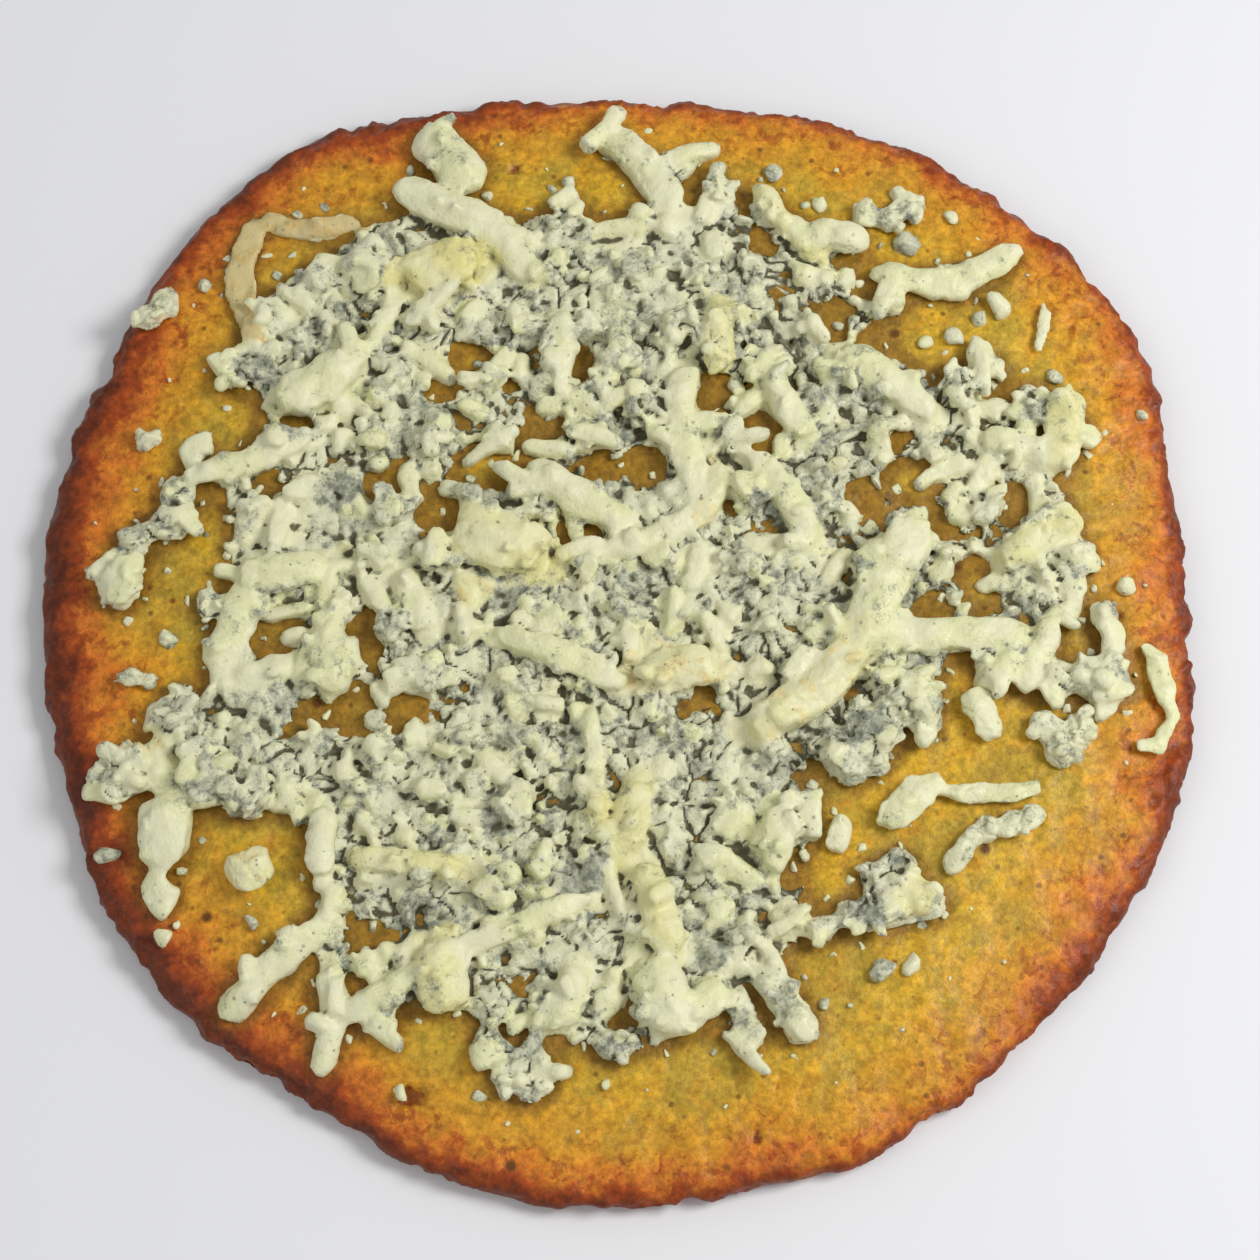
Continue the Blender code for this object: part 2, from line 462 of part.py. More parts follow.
def melted_sheet():
    """The thin sheet into which the finest crumbs have melted, with its gaps."""
    edge = sheet_outline()
    gaps = [gap_outline(*gap) for gap in GAPS]
    grid = [Vector(p) for p in hex_grid(SHEET_GRID, max(SHEET_REACH))]
    grid = [p for p in grid if holds(edge, p * SHEET_GRID_INSIDE)
            and all((p - Vector((x, y))).length > r + GAP_CLEARANCE for x, y, r in GAPS)]
    flat, ends = list(edge), [(i, (i + 1) % len(edge)) for i in range(len(edge))]
    for outline in gaps:
        first = len(flat)
        ends += [(first + i, first + (i + 1) % GAP_SIDES) for i in range(GAP_SIDES)]
        flat += outline
    points, _, faces, _, _, _ = delaunay_2d_cdt(flat + grid, ends, [], 0, 1e-5)
    kept = []
    for face in faces:
        middle = sum((points[i] for i in face), Vector((0, 0))) / 3
        if holds(edge, middle) and not any(holds(outline, middle) for outline in gaps):
            kept.append(face)
    sides = [side for face in kept for side in zip(face, face[1:] + face[:1])]
    known = set(sides)
    border = [(a, b) for a, b in sides if (b, a) not in known]
    rim = {i for pair in border for i in pair}
    shape = bmesh.new()
    upper, lower = {}, {}
    for i in sorted({i for face in kept for i in face}):
        x, y = points[i]
        uneven = 1.0 + SHEET_UNEVEN * wander(x, y, SHEET_NOISE, SHEET_UNEVEN_LENGTH)
        thick = SHEET_EDGE if i in rim else SHEET_MIDDLE * uneven
        floor = top_height(x, y) + REST_GAP
        upper[i] = shape.verts.new((x, y, floor + thick))
        lower[i] = shape.verts.new((x, y, floor))
    for a, b, c in kept:
        shape.faces.new((upper[a], upper[b], upper[c]))
        shape.faces.new((lower[c], lower[b], lower[a]))
    for a, b in border:
        shape.faces.new((upper[b], upper[a], lower[a], lower[b]))
    return new_object("sheet", shape), edge, gaps


def strewn_crumbs(edge, gaps):
    """Crumbs spread evenly over the sheet, clear of its gaps and its edge."""
    made = []
    for x, y in hex_grid(CRUMB_SPACING, max(SHEET_REACH)):
        own = draws(x, y)
        x, y = x + own.uniform(-CRUMB_DRIFT, CRUMB_DRIFT), y + own.uniform(-CRUMB_DRIFT, CRUMB_DRIFT)
        radius = own.uniform(*CRUMB_RADIUS)
        spot = Vector((x, y))
        if not holds(edge, spot * CRUMB_INSIDE) or any(holds(outline, spot) for outline in gaps):
            continue
        made.append(lump(x, y, radius, ON_SHEET, False))
    return made


def largest_body(mesh):
    """Keeps the mesh's largest body, which fills sealed hollows and drops loose scraps."""
    shape = bmesh.new()
    shape.from_mesh(mesh)
    bmesh.ops.dissolve_degenerate(shape, dist=1e-7, edges=shape.edges)
    bmesh.ops.triangulate(shape, faces=shape.faces)
    left, bodies = set(shape.verts), []
    while left:
        front = [left.pop()]
        body = set(front)
        while front:
            for link in front.pop().link_edges:
                for vert in link.verts:
                    if vert not in body:
                        body.add(vert)
                        front.append(vert)
        left -= body
        bodies.append(body)
    bodies.sort(key=len)
    for body in bodies[:-1]:
        bmesh.ops.delete(shape, geom=list(body), context="VERTS")
    shape.to_mesh(mesh)
    shape.free()


def fuse(name, first, others, finish, kept_share=1.0):
    """One Boolean union joins the pieces into the first, which takes the name.

    The share of its triangles that is kept merges the slivers that the union leaves.
    """
    group = bpy.data.collections.new(name + "_pieces")
    bpy.context.scene.collection.children.link(group)
    for piece in others:
        bpy.context.scene.collection.objects.unlink(piece)
        group.objects.link(piece)
    first.name = name
    if others:
        union = first.modifiers.new("Fuse", "BOOLEAN")
        union.operation = "UNION"
        union.operand_type = "COLLECTION"
        union.collection = group
        union.solver = "MANIFOLD"
        bpy.context.view_layer.update()
        bpy.context.view_layer.objects.active = first
        bpy.ops.object.modifier_apply(modifier=union.name)
        largest_body(first.data)
    if kept_share < 1.0:
        fewer = first.modifiers.new("Fewer", "DECIMATE")
        fewer.ratio = kept_share
        bpy.ops.object.modifier_apply(modifier=fewer.name)
    for piece in others:
        bpy.data.objects.remove(piece)
    bpy.data.collections.remove(group)
    first.data.materials.clear()
    first.data.materials.append(finish)
    return first


def main():
    """Builds the pancake, the melted cheese and the pieces that lie apart."""
    clear_scene()
    fried = material("fried_potato", PANCAKE_COLOUR, PANCAKE_ROUGHNESS)
    cheese = material("blue_cheese", CHEESE_COLOUR, CHEESE_ROUGHNESS)

    pancake = pancake_body(fried)
    crumbs = [lump(x, y, radius, LOOSE_RAISED, False, -SINK) for x, y, radius in LOOSE_CRUMBS]
    fuse("potato_pancake", pancake, crumbs, fried)

    sheet, edge, gaps = melted_sheet()
    pieces = [shred(*s) for s in SHREDS]
    pieces += [lump(x, y, radius, raised, radius > FINER_OVER) for x, y, radius, raised in LUMPS]
    pieces += strewn_crumbs(edge, gaps)
    fuse("melted_cheese", sheet, pieces, cheese, KEPT_SHARE)

    for name, shreds, lumps in APART:
        made = [shred(*s) for s in shreds]
        made += [lump(x, y, radius, ON_PANCAKE, radius > FINER_OVER) for x, y, radius in lumps]
        fuse(name, made[0], made[1:], cheese)


main()
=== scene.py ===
"""The looks of a large potato pancake under grated and crumbled blue cheese, around its solids.

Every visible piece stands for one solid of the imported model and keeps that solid's place and form:
the pancake gets its fried relief, and each piece of cheese is rebuilt as melted crumbs and shreds.
Lengths below are in millimetres unless a docstring says metres; the scene is in metres.
"""

from __future__ import annotations

import logging
import math
from dataclasses import dataclass
from enum import Enum
from itertools import product

import bmesh
import bpy
import numpy as np
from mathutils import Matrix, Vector
from mathutils.bvhtree import BVHTree
from mathutils.kdtree import KDTree


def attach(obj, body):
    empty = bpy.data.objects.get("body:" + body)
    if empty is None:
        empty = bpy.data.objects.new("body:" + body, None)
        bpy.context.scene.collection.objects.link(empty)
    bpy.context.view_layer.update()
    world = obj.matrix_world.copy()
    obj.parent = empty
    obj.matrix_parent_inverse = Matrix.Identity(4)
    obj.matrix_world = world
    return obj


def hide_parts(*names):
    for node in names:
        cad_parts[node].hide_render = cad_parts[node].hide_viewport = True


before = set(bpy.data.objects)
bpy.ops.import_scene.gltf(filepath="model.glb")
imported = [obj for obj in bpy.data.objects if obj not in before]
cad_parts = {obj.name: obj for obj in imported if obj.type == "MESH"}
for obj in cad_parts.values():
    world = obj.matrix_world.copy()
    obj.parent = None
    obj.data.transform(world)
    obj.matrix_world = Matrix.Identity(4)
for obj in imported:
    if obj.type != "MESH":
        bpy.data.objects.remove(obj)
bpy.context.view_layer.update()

LOG = logging.getLogger("potato_pancake")
MM = 0.001
BODY = "root"
GRID_REACH, GRID_STEP = 0.1, MM  # half the side and the spacing of every height map, in metres

Colour = tuple[float, float, float]
Socket = bpy.types.NodeSocket


# --------------------------------------------------------------------------- choices by name


class Tone(Enum):
    """How a piece of cheese looks, as the weights (cream, yellow, peach, mould)."""

    CREAM = (1.0, 0.0, 0.0, 0.0)
    YELLOW = (0.8, 0.65, 0.0, 0.0)
    PEACH = (0.9, 0.30, 0.8, 0.0)
    MOULDY = (0.20, 0.0, 0.0, 0.40)
    BLUE = (0.0, 0.0, 0.0, 0.95)
    GREY = (0.35, 0.0, 0.0, 0.15)
    BUTTER = (0.85, 1.0, 0.0, 0.0)
    SMEARED = (0.94, 0.0, 0.0, 0.06)
    ASHEN = (0.72, 0.0, 0.0, 0.42)
    VEINED = (0.50, 0.0, 0.0, 0.26)
    FILM = (0.97, 0.35, 1.7, 0.0)


class Level(Enum):
    """How high a shred lies over the pancake's top, as in the solids."""

    FILM = -1.0
    PANCAKE = 0.0
    SHEET = 1.3
    TOP = 2.1


# --------------------------------------------------------------------------- numbers on arrays

HASH_STEPS = np.array([374761393, 668265263, 2147483647], dtype=np.int64)
HASH_MIX, HASH_MASK, HASH_SHIFT = 1274126177, 0xFFFFFFFF, 13
SEED_STEP = 17.37


def lattice_random(cell: np.ndarray) -> np.ndarray:
    """A fixed random number from 0 to 1 for each row of three whole numbers."""
    key = (cell @ HASH_STEPS) & HASH_MASK
    for _ in range(2):
        key = ((key ^ (key >> HASH_SHIFT)) * HASH_MIX) & HASH_MASK
    return (key >> 8) / (HASH_MASK >> 8)


def lattice_noise(points: np.ndarray, length: float, seed: int) -> np.ndarray:
    """Smooth noise over space.

    Args:
        points: Places in metres, one a row.
        length: The distance over which the noise changes, in metres.
        seed: Chooses one noise among many.

    Returns:
        A value from -1 to 1 for each place.
    """
    scaled = points / length + seed * SEED_STEP
    cell = np.floor(scaled).astype(np.int64)
    part = scaled - cell
    part = part * part * (3.0 - 2.0 * part)
    total = np.zeros(len(points))
    for corner in product((0, 1), repeat=3):
        weight = np.prod(np.where(corner, part, 1.0 - part), axis=1)
        total += weight * lattice_random(cell + corner)
    return 2.0 * total - 1.0


def cells(points: np.ndarray, spacing: float, seed: int) -> tuple[np.ndarray, np.ndarray]:
    """Splits space into uneven cells, as crumbs pack.

    Args:
        points: Places in metres, one a row.
        spacing: How far apart the cells' middles are, in metres.
        seed: Chooses one splitting among many.

    Returns:
        For each point how far it is from its cell's border, in shares of the spacing, and a random
        number from 0 to 1 that is the same all over its cell.
    """
    scaled = points / spacing + seed * SEED_STEP
    first = np.floor(scaled).astype(np.int64)
    nearest, second = np.full(len(points), 9.0), np.full(len(points), 9.0)
    number = np.zeros(len(points))
    for corner in product((-1, 0, 1), repeat=3):
        cell = first + corner
        middle = cell + np.stack([lattice_random(cell + 101 * (axis + 1)) for axis in range(3)], axis=1)
        away = np.linalg.norm(middle - scaled, axis=1)
        number = np.where(away < nearest, lattice_random(cell + 7), number)
        second = np.minimum(second, np.maximum(nearest, away))
        nearest = np.minimum(nearest, away)
    return second - nearest, number


def noise_vector(points: np.ndarray, length: float, seeds: tuple[int, int, int]) -> np.ndarray:
    """Three noises from -1 to 1 at each point, as a shift sideways and up. The length is in metres."""
    return np.stack([lattice_noise(points, length, seed) for seed in seeds], axis=1)


def ease(value: np.ndarray, low: float, high: float) -> np.ndarray:
    """Rises smoothly from 0 at low to 1 at high."""
    t = np.clip((value - low) / (high - low), 0.0, 1.0)
    return t * t * (3.0 - 2.0 * t)


def smoothed(points: np.ndarray, edges: np.ndarray, rounds: int, share: float = 0.5,
             back: float = 0.0) -> np.ndarray:
    """Moves points towards the middle of their neighbours.

    Args:
        points: Places, one a row.
        edges: Pairs of point numbers.
        rounds: How many times to smooth.
        share: How far each point goes towards its neighbours' middle.
        back: How far it then goes away again, which keeps the volume.

    Returns:
        The moved places.
    """
    count = len(points)
    near, far = edges[:, 0], edges[:, 1]
    degree = np.bincount(edges.ravel(), minlength=count)[:, None].clip(1)
    for _ in range(rounds):
        for step in (share, -back) if back else (share,):
            total = np.stack([
                np.bincount(near, points[far, axis], count) + np.bincount(far, points[near, axis], count)
                for axis in range(3)
            ], axis=1)
            points = points + step * (total / degree - points)
    return points


def largest_parts(count: int, edges: np.ndarray, least: int) -> np.ndarray:
    """Finds which points are in a connected part of at least that many points.

    Args:
        count: How many points there are.
        edges: Pairs of point numbers.
        least: The smallest part to keep, in points.

    Returns:
        True for each point to keep.
    """
    label = np.arange(count)
    while True:
        low = np.minimum(label[edges[:, 0]], label[edges[:, 1]])
        new = label.copy()
        np.minimum.at(new, label[edges[:, 0]], low)
        np.minimum.at(new, label[edges[:, 1]], low)
        new = new[new]
        if np.array_equal(new, label):
            break
        label = new
    return np.bincount(label, minlength=count)[label] >= least


# --------------------------------------------------------------------------- meshes


@dataclass
class Shell:
    """A closed mesh as arrays: points in metres, and faces of one number of corners."""

    points: np.ndarray
    faces: np.ndarray

    @classmethod
    def of(cls, mesh: bpy.types.Mesh) -> Shell:
        """Reads a mesh whose faces all have the same number of corners."""
        points = np.zeros(len(mesh.vertices) * 3)
        mesh.vertices.foreach_get("co", points)
        faces = np.zeros(len(mesh.loops), dtype=np.int64)
        mesh.loops.foreach_get("vertex_index", faces)
        corners = len(mesh.loops) // max(1, len(mesh.polygons)) or 3
        return cls(points.reshape(-1, 3), faces.reshape(-1, corners))

    @classmethod
    def joined(cls, shells: list[Shell]) -> Shell:
        """One shell of many triangle shells, with nothing merged."""
        starts = np.cumsum([0] + [len(shell.points) for shell in shells[:-1]])
        return cls(
            np.concatenate([shell.points for shell in shells]),
            np.concatenate([shell.triangles() + start for shell, start in zip(shells, starts)]),
        )

    def triangles(self) -> np.ndarray:
        """The faces as triangles."""
        if self.faces.shape[1] == 3:
            return self.faces
        return np.concatenate([self.faces[:, (0, 1, 2)], self.faces[:, (0, 2, 3)]])

    def edges(self) -> np.ndarray:
        """Every edge once, as pairs of point numbers."""
        following = np.roll(self.faces, -1, axis=1)
        pairs = np.sort(np.stack([self.faces.ravel(), following.ravel()], axis=1), axis=1)
        key = np.unique(pairs[:, 0] * len(self.points) + pairs[:, 1])
        return np.stack([key // len(self.points), key % len(self.points)], axis=1)

    def normals(self) -> np.ndarray:
        """The unit normal at each point."""
        triangles = self.triangles()
        a, b, c = (self.points[triangles[:, k]] for k in range(3))
        across = np.cross(b - a, c - a)
        total = np.stack([
            sum(np.bincount(triangles[:, k], across[:, axis], len(self.points)) for k in range(3))
            for axis in range(3)
        ], axis=1)
        return total / np.linalg.norm(total, axis=1, keepdims=True).clip(1e-20)

    def without_scraps(self, share: float = 0.003) -> Shell:
        """The same shell without the loose parts that hold less than a share of its points."""
        keep = largest_parts(len(self.points), self.edges(), int(share * len(self.points)))
        number = np.cumsum(keep) - 1
        return Shell(self.points[keep], number[self.faces[keep[self.faces[:, 0]]]])

    def mesh(self, name: str) -> bpy.types.Mesh:
        """A Blender mesh of the shell."""
        mesh = bpy.data.meshes.new(name)
        size = self.faces.shape[1]
        mesh.vertices.add(len(self.points))
        mesh.vertices.foreach_set("co", self.points.astype(np.float32).ravel())
        mesh.loops.add(self.faces.size)
        mesh.loops.foreach_set("vertex_index", self.faces.astype(np.int32).ravel())
        mesh.polygons.add(len(self.faces))
        mesh.polygons.foreach_set("loop_start", np.arange(0, self.faces.size, size, dtype=np.int32))
        mesh.update(calc_edges=True)
        mesh.validate()
        return mesh


def keep_values(mesh: bpy.types.Mesh, **values: np.ndarray) -> None:
    """Stores named values at a mesh's points, for its material or its modifiers."""
    for name, value in values.items():
        mesh.attributes.new(name, "FLOAT", "POINT").data.foreach_set("value", value.astype(np.float32))


def link(name: str, mesh: bpy.types.Mesh) -> bpy.types.Object:
    """Puts a mesh into the scene as an object at the origin."""
    made = bpy.data.objects.new(name, mesh)
    bpy.context.scene.collection.objects.link(made)
    return made


def evaluated_mesh(piece: bpy.types.Object) -> bpy.types.Mesh:
    """Turns an object with modifiers into a plain mesh, and removes the object."""
    bpy.context.view_layer.update()
    mesh = bpy.data.meshes.new_from_object(piece.evaluated_get(bpy.context.evaluated_depsgraph_get()))
    bpy.data.objects.remove(piece)
    return mesh


def evaluated_shell(piece: bpy.types.Object) -> Shell:
    """Reads an object with its modifiers applied, and removes it. Its faces all have as many corners."""
    mesh = evaluated_mesh(piece)
    shell = Shell.of(mesh)
    bpy.data.meshes.remove(mesh)
    return shell


def remeshed(shell: Shell, voxel: float) -> Shell:
    """Covers everything in the shell with one even skin.

    Args:
        shell: One or more closed bodies, which may overlap.
        voxel: The skin's resolution, in metres.

    Returns:
        A shell of four-cornered faces.
    """
    piece = link("remesh", shell.mesh("remesh"))
    skin = piece.modifiers.new("Skin", "REMESH")
    skin.mode = "VOXEL"
    skin.voxel_size = voxel
    return evaluated_shell(piece)


def thinned(mesh: bpy.types.Mesh, weight: np.ndarray, triangles: int) -> bpy.types.Mesh:
    """Merges a mesh's triangles until few enough are left, at first only where it may go coarse.

    Args:
        mesh: The mesh of triangles to thin, with its painted values.
        weight: For each point, from 0 where the surface stays fine to 1 where it may go coarse.
        triangles: How many triangles may be left.

    Returns:
        The thinned mesh, with the values carried over.
    """
    for weighted in (True, False):
        if len(mesh.polygons) <= triangles:
            break
        piece = link("thin", mesh)
        fewer = piece.modifiers.new("Fewer", "DECIMATE")
        fewer.ratio = triangles / len(mesh.polygons)
        fewer.use_collapse_triangulate = True
        if weighted:
            group = piece.vertex_groups.new(name="coarse")
            steps = np.round(weight * 4).astype(int)
            for step in range(1, 5):
                group.add(np.flatnonzero(steps == step).tolist(), step / 4, "REPLACE")
            fewer.vertex_group = group.name
            fewer.vertex_group_factor = 6.0
        mesh = evaluated_mesh(piece)
    return mesh


def solid_of(node: str) -> Shell:
    """A merged copy of a solid, whose own mesh is loose triangles."""
    shell = Shell.of(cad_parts[node].data)
    _, first, number = np.unique(
        np.round(shell.points / (0.0001 * MM)).astype(np.int64), axis=0,
        return_index=True, return_inverse=True)
    faces = number.reshape(-1)[shell.faces]
    whole = (faces != np.roll(faces, 1, axis=1)).all(axis=1)
    return Shell(shell.points[first], faces[whole])


@dataclass
class HeightMap:
    """Heights over an even grid around the origin, in metres, with NaN where nothing is."""

    heights: np.ndarray
    step: float

    @classmethod
    def over(cls, shell: Shell) -> HeightMap:
        """The map of a shell's highest points, found with rays that fall on it."""
        tree = BVHTree.FromPolygons(shell.points.tolist(), shell.triangles().tolist())
        count = int(round(GRID_REACH / GRID_STEP))
        places = np.arange(-count, count + 1) * GRID_STEP
        down = Vector((0.0, 0.0, -1.0))
        heights = np.full((len(places), len(places)), math.nan)
        for row, x in enumerate(places):
            for column, y in enumerate(places):
                struck = tree.ray_cast(Vector((x, y, 1.0)), down)[0]
                if struck:
                    heights[row, column] = struck.z
        return cls(heights, GRID_STEP)

    def blurred(self, width: float) -> HeightMap:
        """The map averaged over a width in metres, leaving out the grid where nothing is."""
        steps = np.arange(-int(3 * width / self.step), int(3 * width / self.step) + 1)
        kernel = np.exp(-0.5 * (steps * self.step / width) ** 2)
        known = ~np.isnan(self.heights)
        total, weight = np.where(known, self.heights, 0.0), known.astype(float)
        for axis in (0, 1):
            total = np.apply_along_axis(np.convolve, axis, total, kernel, "same")
            weight = np.apply_along_axis(np.convolve, axis, weight, kernel, "same")
        return HeightMap(total / weight.clip(1e-9), self.step)

    def surface(self) -> Shell:
        """The map as an open sheet of four-cornered faces."""
        count = len(self.heights)
        number = np.arange(count * count).reshape(count, count)
        places = (np.arange(count) - (count - 1) / 2) * self.step
        points = np.stack([*np.meshgrid(places, places, indexing="ij"), self.heights], axis=2)
        faces = np.stack([number[:-1, :-1], number[1:, :-1], number[1:, 1:], number[:-1, 1:]], axis=2)
        return Shell(points.reshape(-1, 3), faces.reshape(-1, 4))

    def at(self, points: np.ndarray) -> np.ndarray:
        """The height at each point's X and Y, in metres."""
        middle = (len(self.heights) - 1) / 2
        place = (points[:, :2] / self.step + middle).clip(0, len(self.heights) - 1.001)
        i, j = np.floor(place).astype(int).T
        s, t = (place - np.floor(place)).T
        grid = self.heights
        return ((1 - s) * ((1 - t) * grid[i, j] + t * grid[i, j + 1])
                + s * ((1 - t) * grid[i + 1, j] + t * grid[i + 1, j + 1]))


@dataclass
class Outline:
    """How far a piece reaches from the origin in every direction, in metres."""

    reaches: np.ndarray

    @classmethod
    def of(cls, shell: Shell, directions: int = 144) -> Outline:
        """Measures a shell's reach in that many directions."""
        angle = np.arctan2(shell.points[:, 1], shell.points[:, 0]) % (2 * math.pi)
        sector = np.round(angle / (2 * math.pi) * directions).astype(int) % directions
        reaches = np.zeros(directions)
        np.maximum.at(reaches, sector, np.hypot(shell.points[:, 0], shell.points[:, 1]))
        return cls(reaches)

    def inward(self, points: np.ndarray) -> np.ndarray:
        """How far each point lies inside the outline, in metres."""
        angle = np.arctan2(points[:, 1], points[:, 0]) % (2 * math.pi)
        count = len(self.reaches)
        reach = np.interp(angle / (2 * math.pi) * count, np.arange(count + 1),
                          np.append(self.reaches, self.reaches[0]))
        return reach - np.hypot(points[:, 0], points[:, 1])


# --------------------------------------------------------------------------- material nodes


class Wiring:
    """A Principled material whose node tree is built in a few words. Lengths are in millimetres."""

    def __init__(self, name: str) -> None:
        """Starts a material with its shader and Object coordinates."""
        self.material = bpy.data.materials.new(name)
        self.material.use_nodes = True
        self.nodes = self.material.node_tree.nodes
        self.shader = self.nodes["Principled BSDF"]
        self.place = self.nodes.new("ShaderNodeTexCoord").outputs["Object"]

    def feed(self, socket: Socket, value: Socket | float | Colour) -> None:
        """Links a socket to another, or sets its value."""
        if isinstance(value, bpy.types.NodeSocket):
            self.material.node_tree.links.new(value, socket)
        elif socket.type == "RGBA":
            socket.default_value = (*value, 1.0)
        else:
            socket.default_value = value

    def set(self, **values: Socket | float | Colour) -> None:
        """Sets or links the shader's inputs, by name with _ for each space."""
        for name, value in values.items():
            self.feed(self.shader.inputs[name.replace("_", " ")], value)

    def noise(self, length: float, detail: float = 2.0, roughness: float = 0.5, seed: float = 0.0,
              warp: float = 0.0) -> Socket:
        """Noise between 0 and 1, mostly near the middle, that changes over a length."""
        node = self.nodes.new("ShaderNodeTexNoise")
        node.noise_dimensions = "4D"
        self.feed(node.inputs["Vector"], self.place)
        for name, value in (("Scale", 1.0 / (length * MM)), ("Detail", detail), ("W", seed),
                            ("Roughness", roughness), ("Distortion", warp)):
            node.inputs[name].default_value = value
        return node.outputs["Fac"]

    def cells(self, spacing: float, seed: float = 0.0) -> Socket:
        """The distance to the nearest of many scattered points, in shares of their spacing."""
        moved = self.nodes.new("ShaderNodeVectorMath")
        moved.operation = "ADD"
        self.feed(moved.inputs[0], self.place)
        moved.inputs[1].default_value = (seed, seed, seed)
        node = self.nodes.new("ShaderNodeTexVoronoi")
        self.feed(node.inputs["Vector"], moved.outputs[0])
        node.inputs["Scale"].default_value = 1.0 / (spacing * MM)
        return node.outputs["Distance"]

    def painted(self, name: str) -> Socket:
        """A value that the mesh holds at each point."""
        node = self.nodes.new("ShaderNodeAttribute")
        node.attribute_name = name
        return node.outputs["Fac"]

    def maths(self, operation: str, *values: Socket | float) -> Socket:
        """One Math node."""
        node = self.nodes.new("ShaderNodeMath")
        node.operation = operation
        for socket, value in zip(node.inputs, values):
            self.feed(socket, value)
        return node.outputs[0]

    def between(self, value: Socket, low: float, high: float, start: float = 0.0,
                end: float = 1.0) -> Socket:
        """Maps low..high to start..end smoothly, and holds the ends."""
        node = self.nodes.new("ShaderNodeMapRange")
        node.interpolation_type = "SMOOTHSTEP"
        for name, item in (("Value", value), ("From Min", low), ("From Max", high),
                           ("To Min", start), ("To Max", end)):
            self.feed(node.inputs[name], item)
        return node.outputs["Result"]

    def swayed(self, distance: Socket, noise: Socket, width: float) -> Socket:
        """A distance moved by noise, over that width in millimetres."""
        return self.maths("MULTIPLY_ADD", self.maths("SUBTRACT", noise, 0.5), width, distance)

    def blend(self, factor: Socket | float, a: Socket | Colour, b: Socket | Colour,
              mode: str = "MIX") -> Socket:
        """Mixes two colours."""
        node = self.nodes.new("ShaderNodeMix")
        node.data_type, node.blend_type = "RGBA", mode
        self.feed(node.inputs[0], factor)
        self.feed(node.inputs[6], a)
        self.feed(node.inputs[7], b)
        return node.outputs[2]

    def relief(self, height: Socket, depth: float, under: Socket | None = None) -> Socket:
        """A bump of that depth in millimetres, over another."""
        node = self.nodes.new("ShaderNodeBump")
        node.inputs["Strength"].default_value = 1.0
        node.inputs["Distance"].default_value = depth * MM
        self.feed(node.inputs["Height"], height)
        if under is not None:
            self.feed(node.inputs["Normal"], under)
        return node.outputs["Normal"]


